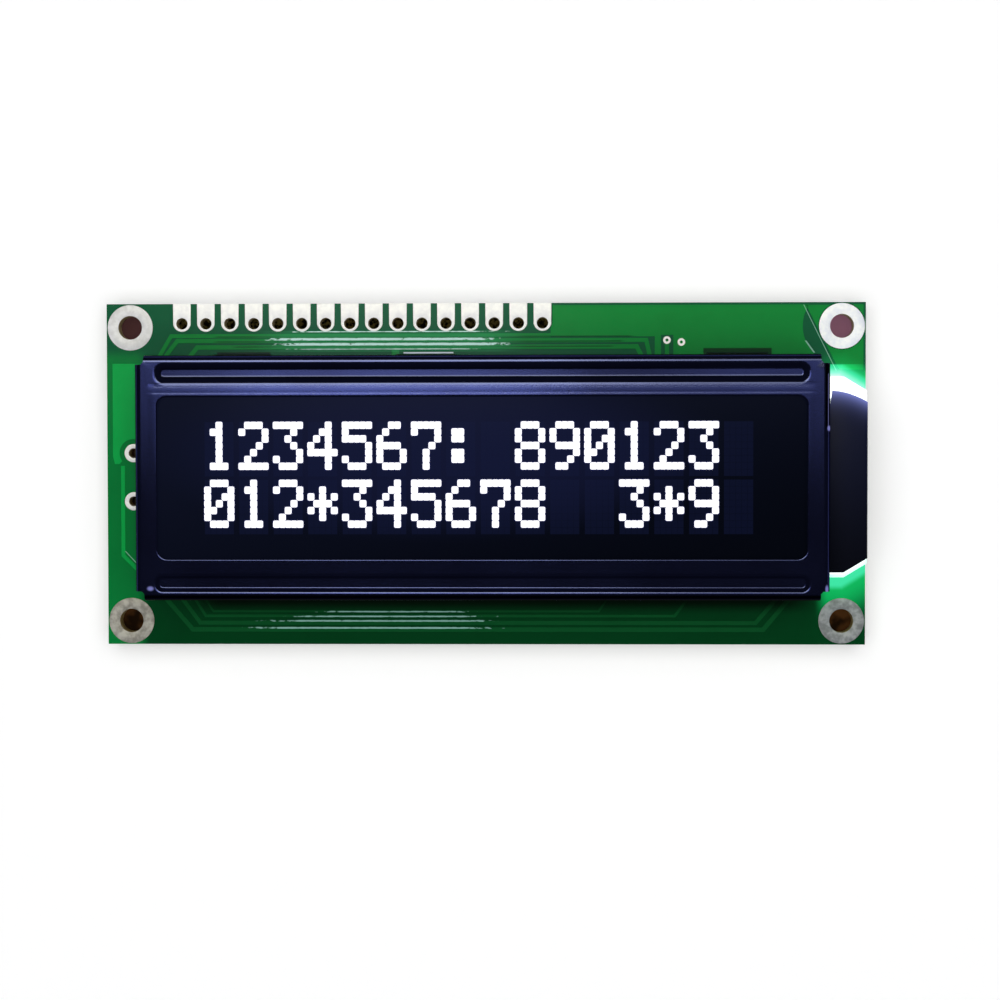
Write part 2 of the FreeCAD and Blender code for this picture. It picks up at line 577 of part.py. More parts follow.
def light_holder():
    """White tray round the light guide, in one piece with the lamp house."""
    tray = band(HOLDER_LEFT, HOUSE_LEFT, REAR_GLASS_HALF_Y, BOARD_TOP, REAR_GLASS_LOW)
    house = house_outline(BOARD_TOP, HOUSE_TOP)
    house = house.makeFillet(HOUSE_EDGE_R, far_top_edge(house, HOUSE_RIGHT))
    holder = tray.fuse(house).removeSplitter()
    pocket = band(POCKET_LEFT, HOUSE_LEFT + HOLDER_WALL, POCKET_HALF_Y, POCKET_LOW, HOUSE_TOP + PAST)
    chamber = band(HOUSE_LEFT, POCKET_RIGHT, HOUSE_POCKET_HALF, POCKET_LOW, HOUSE_TOP + PAST)
    holder = holder.cut(pocket.fuse(chamber))
    well_r = LAMP_PAD_R + COPPER_GAP
    return holder.cut([rim(well_r, PAD_SIDES, x, y, BOARD_TOP, POCKET_LOW) for x, y in LAMP_PADS[2:]])


def sheet_in_tray(z0, z1):
    """Plate that lies loose in the tray."""
    return band(POCKET_LEFT + LIGHT_GUIDE_GAP, GUIDE_RIGHT, POCKET_HALF_Y - LIGHT_GUIDE_GAP, z0, z1)


def lamp_strip():
    """Narrow board that carries the lamps, with holes for its two leads."""
    left, right = GUIDE_RIGHT + LAMP_STRIP_MARGIN, POCKET_RIGHT - LAMP_STRIP_MARGIN
    strip = band(left, right, HOUSE_POCKET_HALF - LAMP_STRIP_MARGIN, POCKET_LOW, STRIP_TOP)
    return strip.cut([square_post(x, y, LEAD_HOLE_GAP, POCKET_LOW, STRIP_TOP) for x, y in LAMP_PADS[2:]])


def square_post(x, y, grow, z0, z1):
    """Square lead, or the hole that it goes through when grow is more than 0."""
    half = LEAD_WIDTH / 2 + grow
    return slab(half, half, z0, z1, x, y)


def led_places():
    """Y of each lamp, spread evenly over the lamp strip."""
    reach = HOUSE_POCKET_HALF - LAMP_STRIP_MARGIN - LED_END_GAP - LED_SIZE[1] / 2
    return [BY + reach * (2 * i / (LED_COUNT - 1) - 1) for i in range(LED_COUNT)]


def lamp_led(y):
    """Side-emitting lamp: a body with a proud lens that faces the light guide."""
    depth, length, height = LED_SIZE
    lens_depth, lens_length, lens_height = LED_LENS
    lens_low = STRIP_TOP + (height - lens_height) / 2
    body_x, lens_x = LED_FRONT + depth / 2, LED_FRONT - lens_depth / 2
    body = slab(depth / 2, length / 2, STRIP_TOP, STRIP_TOP + height, body_x, y)
    return body.fuse(slab(lens_depth / 2, lens_length / 2, lens_low, lens_low + lens_height, lens_x, y))


def lamp_lead(x, y):
    """Lead from the lamp strip through the board, with its solder cone on the rear land."""
    tip_r = LEAD_WIDTH / 2 * math.sqrt(2) + PLATING
    cone = Part.makeCone(tip_r, SOLDER_R, SOLDER_HEIGHT, V(x, y, -COPPER - SOLDER_HEIGHT))
    return square_post(x, y, 0, -LEAD_BELOW, STRIP_TOP + LEAD_ABOVE).fuse(cone)


def tape_plan():
    """Tape seen from the front: its lower end follows the house's corner, its upper end is a bowed cut."""
    low = HOUSE_HALF_WIDTH - TAPE_LOWER_INSET
    left, right = BEZEL_RIGHT - TAPE_UNDER_LIP, HOUSE_RIGHT + TAPE
    far_low = BY - low + HOUSE_CORNER_BACK
    lower = [(left, BY - low), (BEZEL_RIGHT + HOUSE_FLAT, BY - low), (HOUSE_RIGHT, far_low), (right, far_low)]
    top = BY + HOUSE_HALF_WIDTH
    start = V(right, top - TAPE_UPPER_FAR, 0)
    end = V(BEZEL_RIGHT + TAPE_GAPE, top - TAPE_UPPER_NEAR, 0)
    bow = (start + end) / 2 + V(0, TAPE_BOW, 0)
    stuck = [V(x, top - TAPE_GAPE_START, 0) for x in (BEZEL_RIGHT + TAPE_GAPE_FOOT, left)]
    ring = [V(x, y, 0) for x, y in lower]
    edges = lines(ring + [start]) + [arc(start, bow, end)] + lines([end] + stuck + ring[:1])
    return face_of(edges).extrude(V(0, 0, HOUSE_TOP + 2 * TAPE))


def lamp_tape():
    """Opaque tape over the lamp house and down its far side."""
    right = HOUSE_RIGHT + TAPE
    cover = band(HOUSE_LEFT, right, HOUSE_HALF_WIDTH, BOARD_TOP + TAPE_FOOT_GAP, HOUSE_TOP + TAPE)
    cover = cover.makeFillet(HOUSE_EDGE_R + TAPE, far_top_edge(cover, right))
    core = band(HOUSE_LEFT - PAST, HOUSE_RIGHT, HOUSE_HALF_WIDTH + PAST, BOARD_TOP - PAST, HOUSE_TOP)
    core = core.makeFillet(HOUSE_EDGE_R, far_top_edge(core, HOUSE_RIGHT))
    return cover.cut(core).common(tape_plan())


def blob(x, y, r):
    """Low dome of resin over a die, nearly flat on its crown."""
    rise = [V(x + u * r, y, -share * BLOB_HEIGHT) for u, share in BLOB_PROFILE]
    outline = [V(x, y, 0), V(x, y, -BLOB_HEIGHT)] + rise + [V(x, y, 0)]
    return face_of(lines(outline)).revolve(V(x, y, 0), V(0, 0, 1), 360).cut(die(x, y))


def die(x, y):
    """Silicon die on the rear face."""
    length, width, height = DIE_SIZE
    return slab(length / 2, width / 2, -height, 0, x, y)


def chip_part(name):
    """Chip resistor or capacitor with its two end caps, on lands at the origin."""
    length, width, height = CHIP_SIZE[name.split("_")[0]]
    foot, rise = -COPPER, CHIP_CAP_RISE
    body = slab(length / 2 - CHIP_CAP, width / 2, foot - height, foot - rise, 0, 0)
    half_cap, half_width = CHIP_CAP / 2, width / 2 + rise
    cap_x = length / 2 - half_cap
    caps = [slab(half_cap, half_width, foot - height - rise, foot, side * cap_x, 0) for side in (-1, 1)]
    return body.multiFuse(caps)


def chip_lands(name):
    """Two copper lands under a chip part's end caps, at the origin."""
    length, width, _ = CHIP_SIZE[name.split("_")[0]]
    half_x, half_y = CHIP_CAP / 2 + CHIP_LAND_MARGIN, width / 2 + CHIP_LAND_MARGIN / 2
    cap_x = length / 2 - CHIP_CAP / 2
    return Part.makeCompound([slab(half_x, half_y, -COPPER, 0, side * cap_x, 0) for side in (-1, 1)])


def placed(shape, x, row, from_tabs, across):
    """Shape drawn along X at the origin, turned if it lies across the board and moved to its place."""
    if across:
        shape.rotate(V(0, 0, 0), V(0, 0, 1), 90)
    shape.translate(V(x, BY + row * (TAB_TIP - from_tabs), 0))
    return shape


def display_cell():
    """Two glasses with their seal between them and a polariser on each outer face."""
    front_x, front_y = FRONT_POLARISER_INSET
    rear_x, rear_y = REAR_POLARISER_INSET
    seal_x, seal_y = GLASS_HALF_X - SEAL_INSET, REAR_GLASS_HALF_Y - SEAL_INSET
    seal = slab(seal_x, seal_y, REAR_GLASS_TOP, FRONT_GLASS_LOW)
    well = slab(seal_x - SEAL_WIDTH, seal_y - SEAL_WIDTH, REAR_GLASS_TOP, FRONT_GLASS_LOW)
    film_top = FRONT_GLASS_TOP + POLARISER
    return {
        "front_polariser": slab(GLASS_HALF_X - front_x, GLASS_HALF_Y - front_y, FRONT_GLASS_TOP, film_top),
        "front_glass": slab(GLASS_HALF_X, GLASS_HALF_Y, FRONT_GLASS_LOW, FRONT_GLASS_TOP),
        "cell_seal": seal.cut(well),
        "rear_glass": slab(GLASS_HALF_X, REAR_GLASS_HALF_Y, REAR_GLASS_LOW, REAR_GLASS_TOP),
        "rear_polariser": slab(
            GLASS_HALF_X - rear_x, REAR_GLASS_HALF_Y - rear_y, REAR_POLARISER_LOW, REAR_GLASS_LOW
        ),
    }


def elastomer_strip(side):
    """Striped rubber connector from the board's fingers up to the front glass's ledge."""
    y = BY + side * STRIP_CENTRE
    return slab(STRIP_LENGTH / 2, STRIP_WIDTH / 2, BOARD_TOP + COPPER, FRONT_GLASS_LOW, BX, y)


def board_nodes():
    """Board with the conductors on both of its faces."""
    nodes = {
        "circuit_board": circuit_board(),
        "front_pours": front_pours(),
        "front_tracks": front_tracks(),
        "contact_fingers": contact_fingers(),
        "chip_lands": Part.makeCompound([placed(chip_lands(name), *place) for name, *place in CHIP_PARTS]),
    }
    for i, (x, y) in enumerate(mount_places()):
        nodes[f"mounting_land_{i + 1}"] = plated_ring(MOUNT_LAND_R, MOUNT_HOLE_R, LAND_SIDES, x, y)
    for i, x in enumerate(header_places()):
        nodes[f"header_pad_{i + 1:02d}"] = header_pad(x)
    for i, (x, y) in enumerate(LAMP_PADS):
        nodes[f"lamp_pad_{i + 1}"] = plated_ring(LAMP_PAD_R, LAMP_HOLE_R, PAD_SIDES, x, y)
    return nodes


def display_nodes():
    """Bezel, display cell, connectors and the lit tray behind the cell."""
    nodes = {"bezel": bezel(), **display_cell()}
    nodes["elastomer_strip_upper"] = elastomer_strip(1)
    nodes["elastomer_strip_lower"] = elastomer_strip(-1)
    nodes["light_holder"] = light_holder()
    nodes["reflector_sheet"] = sheet_in_tray(POCKET_LOW, GUIDE_LOW)
    nodes["light_guide"] = sheet_in_tray(GUIDE_LOW, DIFFUSER_LOW)
    nodes["diffuser_sheet"] = sheet_in_tray(DIFFUSER_LOW, REAR_POLARISER_LOW)
    nodes["lamp_strip"] = lamp_strip()
    for i, y in enumerate(led_places()):
        nodes[f"lamp_led_{i + 1}"] = lamp_led(y)
    for i, (x, y) in enumerate(LAMP_PADS[2:]):
        nodes[f"lamp_lead_{i + 1}"] = lamp_lead(x, y)
    nodes["lamp_tape"] = lamp_tape()
    return nodes


def rear_nodes():
    """Controllers under resin and the chip parts, behind the board."""
    nodes = {}
    for name, (x, y, r) in BLOBS.items():
        nodes[f"{name}_die"] = die(x, y)
        nodes[f"{name}_blob"] = blob(x, y, r)
    for name, *place in CHIP_PARTS:
        nodes[name] = placed(chip_part(name), *place)
    return nodes


def main():
    os.makedirs("parts", exist_ok=True)
    for name, shape in {**board_nodes(), **display_nodes(), **rear_nodes()}.items():
        shape.exportStep(f"parts/{name}.step")


main()
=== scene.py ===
import logging
import math
from dataclasses import dataclass
from enum import Enum
from functools import cache, partialmethod, reduce
from typing import Iterable, Union

import bmesh
import bpy
from mathutils import Matrix, Vector


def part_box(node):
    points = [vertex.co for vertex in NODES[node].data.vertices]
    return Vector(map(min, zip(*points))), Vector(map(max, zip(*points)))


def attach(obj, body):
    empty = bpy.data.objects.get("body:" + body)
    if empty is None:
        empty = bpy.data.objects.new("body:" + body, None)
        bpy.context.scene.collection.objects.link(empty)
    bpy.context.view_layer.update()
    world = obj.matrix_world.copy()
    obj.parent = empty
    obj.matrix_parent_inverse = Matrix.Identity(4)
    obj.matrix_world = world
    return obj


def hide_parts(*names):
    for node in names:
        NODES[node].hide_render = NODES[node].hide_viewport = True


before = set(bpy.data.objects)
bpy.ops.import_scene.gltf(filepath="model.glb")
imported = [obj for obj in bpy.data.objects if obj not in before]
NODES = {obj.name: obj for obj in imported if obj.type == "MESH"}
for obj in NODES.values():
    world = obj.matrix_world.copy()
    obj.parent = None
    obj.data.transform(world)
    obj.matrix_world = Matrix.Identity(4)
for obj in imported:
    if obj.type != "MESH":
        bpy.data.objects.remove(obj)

LOG = logging.getLogger("display_module")
MM = 0.001
BODY = "root"
SAME = 1e-4  # places closer than this are one, in millimetres
Mesh = bmesh.types.BMesh
Node = bpy.types.Node
Socket = bpy.types.NodeSocket
Number = Union[float, "Value"]
Colour = Union[tuple, Socket]
BLACK = (0.0, 0.0, 0.0, 1.0)
WHITE = (1.0, 1.0, 1.0, 1.0)


def tone(code: str) -> tuple[float, float, float, float]:
    """Linear colour of a six-digit screen colour.

    Args:
        code: Red, green and blue as six hexadecimal digits.

    Returns:
        Red, green, blue and an alpha of 1.
    """
    parts = [int(code[i : i + 2], 16) / 255 for i in (0, 2, 4)]
    red, green, blue = (c / 12.92 if c <= 0.04045 else ((c + 0.055) / 1.055) ** 2.4 for c in parts)
    return red, green, blue, 1.0


class Value:
    """Number on a shader socket, with operators that add Math nodes."""

    def __init__(self, graph: "Graph", socket: Socket) -> None:
        """Wraps one socket of a graph."""
        self.graph = graph
        self.socket = socket

    def math(self, operation: str, *others: Number) -> "Value":
        """Math node over this number and others, in order."""
        made = self.graph.node("ShaderNodeMath", {"operation": operation}, dict(enumerate((self, *others))))
        return Value(self.graph, made.outputs[0])

    def after(self, operation: str, first: Number) -> "Value":
        """Math node over a plain number and this one."""
        made = self.graph.node("ShaderNodeMath", {"operation": operation}, {0: first, 1: self})
        return Value(self.graph, made.outputs[0])

    __add__ = partialmethod(math, "ADD")
    __radd__ = partialmethod(after, "ADD")
    __sub__ = partialmethod(math, "SUBTRACT")
    __rsub__ = partialmethod(after, "SUBTRACT")
    __mul__ = partialmethod(math, "MULTIPLY")
    __rmul__ = partialmethod(after, "MULTIPLY")
    __truediv__ = partialmethod(math, "DIVIDE")
    __pow__ = partialmethod(math, "POWER")
    __rpow__ = partialmethod(after, "POWER")
    __mod__ = partialmethod(math, "FLOORED_MODULO")
    __abs__ = partialmethod(math, "ABSOLUTE")
    most = partialmethod(math, "MAXIMUM")

    def ramp(self, start: float, end: float) -> "Value":
        """Smooth rise from 0 at start to 1 at end, and level past both.

        Args:
            start: Value that gives 0.
            end: Value that gives 1, which may be below start.

        Returns:
            The eased number.
        """
        if start > end:
            return 1 - self.ramp(end, start)
        inputs = {"Value": self, "From Min": start, "From Max": end}
        settings = {"interpolation_type": "SMOOTHSTEP"}
        return Value(self.graph, self.graph.node("ShaderNodeMapRange", settings, inputs).outputs[0])

    def inside(self, low: float, high: float, soft: float) -> "Value":
        """Mask that is 1 between two values, with soft shoulders outside them."""
        return self.ramp(low - soft, low) * self.ramp(high + soft, high)


class Graph:
    """Node tree of one material or of the world."""

    def __init__(self, owner: Union[bpy.types.Material, bpy.types.World]) -> None:
        """Clears the owner's node tree and wraps it.

        Args:
            owner: Material or world.
        """
        owner.use_nodes = True
        self.tree = owner.node_tree
        self.tree.nodes.clear()

    def node(self, kind: str, settings: dict, inputs: dict) -> Node:
        """Adds a node.

        Args:
            kind: Node type.
            settings: Attributes, set before the inputs.
            inputs: Numbers, colours, sockets or Values by socket name or place.

        Returns:
            The new node.
        """
        made = self.tree.nodes.new(kind)
        for key, setting in settings.items():
            setattr(made, key, setting)
        for key, given in inputs.items():
            if isinstance(given, Value):
                given = given.socket
            if isinstance(given, Socket):
                self.tree.links.new(given, made.inputs[key])
            else:
                made.inputs[key].default_value = given
        return made

    def coordinates(self) -> Socket:
        """Object coordinates in millimetres."""
        inputs = {0: self.node("ShaderNodeTexCoord", {}, {}).outputs["Object"], "Scale": 1 / MM}
        return self.node("ShaderNodeVectorMath", {"operation": "SCALE"}, inputs).outputs[0]

    def place(self) -> tuple[Value, Value, Value]:
        """X, Y and Z in millimetres."""
        split = self.node("ShaderNodeSeparateXYZ", {}, {0: self.coordinates()})
        return tuple(Value(self, out) for out in split.outputs)

    def facing(self) -> Value:
        """Upward part of the surface's direction."""
        normal = self.node("ShaderNodeTexCoord", {}, {}).outputs["Normal"]
        return Value(self, self.node("ShaderNodeSeparateXYZ", {}, {0: normal}).outputs[2])

    def tinted(self, factor: Number, colour: Colour) -> Socket:
        """Colour that fades to black as a factor falls to 0."""
        return self.mix(factor, BLACK, colour)

    def noise(self, scale: float, detail: float = 2.0, stretch: tuple = (1, 1, 1)) -> Value:
        """Noise over the object.

        Args:
            scale: Cells per millimetre.
            detail: Finer octaves.
            stretch: Factor on each axis before the noise is read.

        Returns:
            Noise from 0 to 1.
        """
        settings = {"operation": "MULTIPLY"}
        vector = self.node("ShaderNodeVectorMath", settings, {0: self.coordinates(), 1: stretch}).outputs[0]
        inputs = {"Vector": vector, "Scale": scale, "Detail": detail}
        return Value(self, self.node("ShaderNodeTexNoise", {}, inputs).outputs[0])

    def mix(self, factor: Number, first: Colour, second: Colour, mode: str = "MIX") -> Socket:
        """Colour between two colours, or mixed in another mode."""
        settings = {"data_type": "RGBA", "blend_type": mode}
        return self.node("ShaderNodeMix", settings, {0: factor, 6: first, 7: second}).outputs[2]

    def bump(self, height: Value, depth: float) -> Socket:
        """Surface direction from a height of 0 to 1, with its depth in millimetres."""
        return self.node("ShaderNodeBump", {}, {"Distance": depth * MM, "Height": height}).outputs[0]

    def surface(self, **inputs: object) -> Node:
        """Principled surface, with sockets named in lower case with underscores."""
        names = {key: key.replace("_", " ").title().replace("Ior", "IOR") for key in inputs}
        return self.node("ShaderNodeBsdfPrincipled", {}, {names[key]: inputs[key] for key in inputs})

    def close(self, shader: Node) -> None:
        """Sends a shader to the output."""
        kind = "ShaderNodeOutputWorld" if shader.type == "BACKGROUND" else "ShaderNodeOutputMaterial"
        self.node(kind, {}, {0: shader.outputs[0]})


def graph_sum(parts: Iterable[Value]) -> Value:
    """Sum of several Values."""
    return reduce(Value.__add__, parts)


@dataclass(frozen=True)
class Finish:
    """Surface finish that can build its material."""

    label: str

    def dress(self, graph: Graph) -> Node:
        """Builds the shader in an empty graph and returns its last node."""
        raise NotImplementedError


@cache
def material_of(finish: Finish) -> bpy.types.Material:
    """Material of a finish, built once.

    Args:
        finish: The finish.

    Returns:
        Its material.
    """
    material = bpy.data.materials.new(finish.label)
    graph = Graph(material)
    graph.close(finish.dress(graph))
    return material


class Level(Enum):
    """What lies under the lacquer, with its lower and upper greens, darker towards the bottom as painted
    shade, its left green, painted light near the left edge, and the strength of its painted sheen.
    """

    BARE = ("013e1b", "0a5936", "067c38", 0.3)
    COPPER = ("0a5127", "098434", "0cab4b", 0.6)


@dataclass(frozen=True)
class Streak:
    """Thin painted line of light or shade along the board."""

    y: float
    half: float
    left: float
    right: float
    fade: float

    def mask(self, x: Value, y: Value) -> Value:
        """Mask of the line, soft across and faded at both ends."""
        return abs(y - self.y).ramp(self.half + 0.05, self.half) * x.inside(self.left, self.right, self.fade)


@dataclass(frozen=True)
class SlantGlint:
    """Short slanted painted glint between two places."""

    start: tuple
    end: tuple
    half: float

    def mask(self, x: Value, y: Value) -> Value:
        """Mask of the glint.

        Args:
            x: Place along the board.
            y: Place across the board.

        Returns:
            1 on the glint and 0 off it.
        """
        run = Vector(self.end) - Vector(self.start)
        across = Vector((-run.y, run.x)).normalized()
        off = (x - self.start[0]) * across.x + (y - self.start[1]) * across.y
        return abs(off).ramp(self.half + 0.04, self.half) * y.inside(self.end[1], self.start[1], 0.1)


def lines_mask(lines: tuple, x: Value, y: Value) -> Value:
    """Mask of several painted streaks or slanted glints together."""
    return graph_sum(line.mask(x, y) for line in lines)


@dataclass(frozen=True)
class HousePlan:
    """Outline of the lamp house from above, with its far corners cut back."""

    left: float = 34.6
    cut: float = 37.15
    middle: float = -0.3
    half: float = 10.35
    slope: tuple = (0.517, 0.856)

    def beyond(self, x: Value, over: Value) -> Value:
        """Distance past the whole outline, from the distance past its straight side."""
        return over.most((x - self.cut) * self.slope[0] + over * self.slope[1])


@dataclass(frozen=True)
class BoardLacquer(Finish):
    """Green lacquer, paler over copper, with a painted glow beside the lamp house and painted light and shade
    on its front.
    """

    level: Level
    house: HousePlan = HousePlan()
    # Painted glow from the lamp house: its colours, reaches and the step where it fades.
    glow: tuple = ((0.3, 0.95, 0.72, 1), (0.05, 0.75, 0.37, 1), (0.004, 0.43, 0.1, 1))
    glow_ends: tuple = (1.3, 3.0, 5.5)
    glow_step: tuple = (11.42, 11.52)
    left_glow_area: tuple = ((-35.5, -37), (13.5, 12))
    # Slot lips: bare clearance round the slots, darkened with painted shade.
    lips: tuple = ((-28.2, -22.7, 12.93), (23.07, 30.08, 13.25))
    stub: tuple = ((-9.66, -9.03), (12.7, 13.45))
    # Painted shadow of the bezel on the board just below its lower edge.
    below: tuple = ((-28, 31), (-15, -12), (-15, -13.4))
    # Painted sheen over the upper tracks, and a painted glint at the middle slot.
    sheen: tuple = ((-20, 0), (12.95, 15.1))
    slot_glint: Streak = Streak(12.79, 0.05, -8.5, -3.35, 0.1)
    # Painted shade along the upper edges of the gaps between the top tracks.
    shades: tuple = (
        Streak(14.5, 0.03, -28, 15, 1),
        Streak(13.98, 0.03, -28, 14, 1),
        Streak(13.44, 0.03, -26, 13, 1),
    )
    # Painted glints along the upper edges of the tracks.
    glints: tuple = (
        Streak(15.03, 0.02, -16, -4, 8),
        Streak(14.24, 0.1, -19, -3, 6),
        Streak(13.71, 0.11, -18.5, -2, 6),
        Streak(13.19, 0.02, -18, -3, 4),
        Streak(-14.55, 0.04, -13, -6, 7),
        Streak(-15.05, 0.045, -15, -5.5, 9),
        Streak(-15.53, 0.055, -17, -5, 9),
        Streak(-16.27, 0.06, -19, -5, 9),
    )
    # Painted glints along the cut edges of the pours.
    slant_glints: tuple = (
        SlantGlint((33.52, 17.69), (36.89, 10.87), 0.01),
        SlantGlint((33.74, 13.92), (34.58, 12.76), 0.05),
        SlantGlint((-38.1, -8.2), (-36.9, -9.5), 0.02),
    )

    def shine(self, graph: Graph, x: Value, y: Value) -> Socket:
        """Painted light that the lamp house throws into the board round it.

        Args:
            graph: The lacquer's graph.
            x: Place along the board.
            y: Place across the board.

        Returns:
            Colour of the light.
        """
        over = self.house.beyond(x, abs(y - self.house.middle) - self.house.half)
        upper = y.ramp(0, 1)
        near = over * (1.7 - upper * 0.7) + 0.6 * (1 - upper)
        light = WHITE
        steps = ((near, -0.1, 0.6), (near, 0.45, 1.15), (over, 1.0, 1.7))
        for (distance, start, end), colour in zip(steps, self.glow):
            light = graph.mix(distance.ramp(start, end), light, colour)
        full, upper_end, lower_end = self.glow_ends
        reach = over.ramp(upper_end, full) * upper + over.ramp(lower_end, full) * (1 - upper)
        reach = reach * x.ramp(self.house.left, self.house.left + 1.6)
        reach = reach * (1 - y.ramp(*self.glow_step) * 0.8)
        return graph.tinted(reach * graph.facing().ramp(0.5, 0.9), light)

    def clearance_and_shade(self, x: Value, y: Value) -> Value:
        """Dark lips of the slots along the upper edge of the bezel: the bare clearance round each slot,
        darkened with painted shade.
        """
        parts = (x.inside(low, high, 0.15) * y.inside(11, top - 0.1, 0.12) for low, high, top in self.lips)
        return graph_sum(parts)

    def layered(self, graph: Graph, ground: Colour, front: Value, layers: tuple) -> Colour:
        """Lays colours over a ground, each through its mask, on the front alone.

        Args:
            graph: The lacquer's graph.
            ground: Lowest colour.
            front: Mask of the front.
            layers: Mask and colour of each layer.

        Returns:
            Colour of all together.
        """
        for mask, colour in layers:
            ground = graph.mix(mask * front, ground, colour)
        return ground

    def green(self, graph: Graph, x: Value, y: Value, front: Value) -> Socket:
        """Colour of the lacquer with the painted lines of light and shade on its front.

        Args:
            graph: The lacquer's graph.
            x: Place along the board.
            y: Place across the board.
            front: Mask of the front.

        Returns:
            Colour of the lacquer.
        """
        low, high, left_glow_green, sheen_strength = self.level.value
        # Painted light near the board's left edge.
        left = x.ramp(*self.left_glow_area[0]) * y.ramp(*self.left_glow_area[1])
        stub = x.inside(*self.stub[0], 0.04) * y.inside(*self.stub[1], 0.05)
        # Painted shadow below the bezel.
        below = x.inside(*self.below[0], 5) * y.inside(*self.below[1], 0.1) * y.ramp(*self.below[2])
        # Painted light near the left edge, the lighter track stub, painted shade lines, the slot lips darkened
        # with painted shade and the painted shadow below the bezel.
        first_layers = (
            (left, tone(left_glow_green)),
            (stub, tone("1c8a40")),
            (lines_mask(self.shades, x, y) * 0.75 * (1 - stub), tone("033a1e")),
            (self.clearance_and_shade(x, y) * 0.85, tone("04140f")),
            (below * 0.92, tone("040a07")),
        )
        # Darker towards the bottom: painted shade.
        green = graph.mix(y.ramp(-19, 17), tone(low), tone(high))
        green = self.layered(graph, green, front, first_layers)
        mottle = graph.noise(0.35, 3) * 0.3 + 0.85
        green = graph.mix(1.0, green, graph.tinted(mottle, WHITE), "MULTIPLY")
        glint_sparkle = graph.noise(1.6, 3, (1, 2, 1)) * 2.6 - 0.8
        lines = lines_mask(self.glints, x, y)
        glint = (lines + glint_sparkle * 0.9 - 0.85).ramp(-0.1, 0.35) * lines.ramp(0.02, 0.2)
        # Painted highlights: sheen, glints along the tracks, slanted glints and the glint at the middle slot.
        lights = (
            (x.inside(*self.sheen[0], 5) * y.inside(*self.sheen[1], 0.1) * sheen_strength, tone("2aa05c")),
            (glint, graph.mix(y.ramp(0, 1), tone("90c4b8"), tone("d4fbf2"))),
            (lines_mask(self.slant_glints, x, y) * 0.6, tone("a8e4cc")),
            (self.slot_glint.mask(x, y) * 0.95, tone("ecf6ff")),
        )
        return self.layered(graph, green, front, lights)

    def dress(self, graph: Graph) -> Node:
        """Builds the lacquer.

        Args:
            graph: Empty graph to build it in.

        Returns:
            The shader.
        """
        x, y, z = graph.place()
        green = self.green(graph, x, y, z.ramp(0.7, 0.9))
        core = graph.mix(graph.noise(1.0, 2, (3, 3, 14)), tone("6f7a3c"), tone("a5a766"))
        rim = abs(graph.facing()).ramp(0.6, 0.3) * z.inside(0.06, 1.54, 0.02)
        weave = graph.noise(2.2, 1, (1, 4, 1)) * 0.5 + graph.noise(2.2, 1, (4, 1, 1)) * 0.5
        return graph.surface(
            base_color=graph.mix(rim if self.level is Level.BARE else 0.0, green, core),
            roughness=0.14 + rim * 0.5,
            specular_ior_level=0.08,
            emission_color=self.shine(graph, x, y),
            emission_strength=1.0,
            normal=graph.bump(weave, 0.006),
        )


@dataclass(frozen=True)
class Tin(Finish):
    """Levelled solder, bright with faint ripples, over a darker plated barrel."""

    bright: str = "ffffff"
    dull: str = "f2f2f5"
    barrel: str = "9a8548"

    def dress(self, graph: Graph) -> Node:
        """Builds the tin.

        Args:
            graph: Empty graph to build it in.

        Returns:
            The shader.
        """
        ripple = graph.noise(1.6, 4)
        base = graph.mix(ripple.ramp(0.3, 0.7), tone(self.dull), tone(self.bright))
        side = abs(graph.facing()).ramp(0.6, 0.3)
        return graph.surface(
            base_color=graph.mix(side * 0.85, base, tone(self.barrel)),
            metallic=0.1,
            roughness=0.5 + ripple * 0.08,
            specular_ior_level=0.25,
            normal=graph.bump(ripple, 0.01),
        )


@dataclass(frozen=True)
class Plain(Finish):
    """Finish of one colour with a fine mottle and grain."""

    colour: str
    second: str
    roughness: float
    metallic: float = 0.0
    grain: float = 2.0
    depth: float = 0.01
    specular: float = 0.5

    def dress(self, graph: Graph) -> Node:
        """Builds the finish."""
        mottle = graph.noise(self.grain, 3)
        return graph.surface(
            base_color=graph.mix(mottle.ramp(0.3, 0.7), tone(self.colour), tone(self.second)),
            metallic=self.metallic,
            roughness=self.roughness + (mottle - 0.5) * 0.15,
            specular_ior_level=self.specular,
            normal=graph.bump(mottle, self.depth),
        )


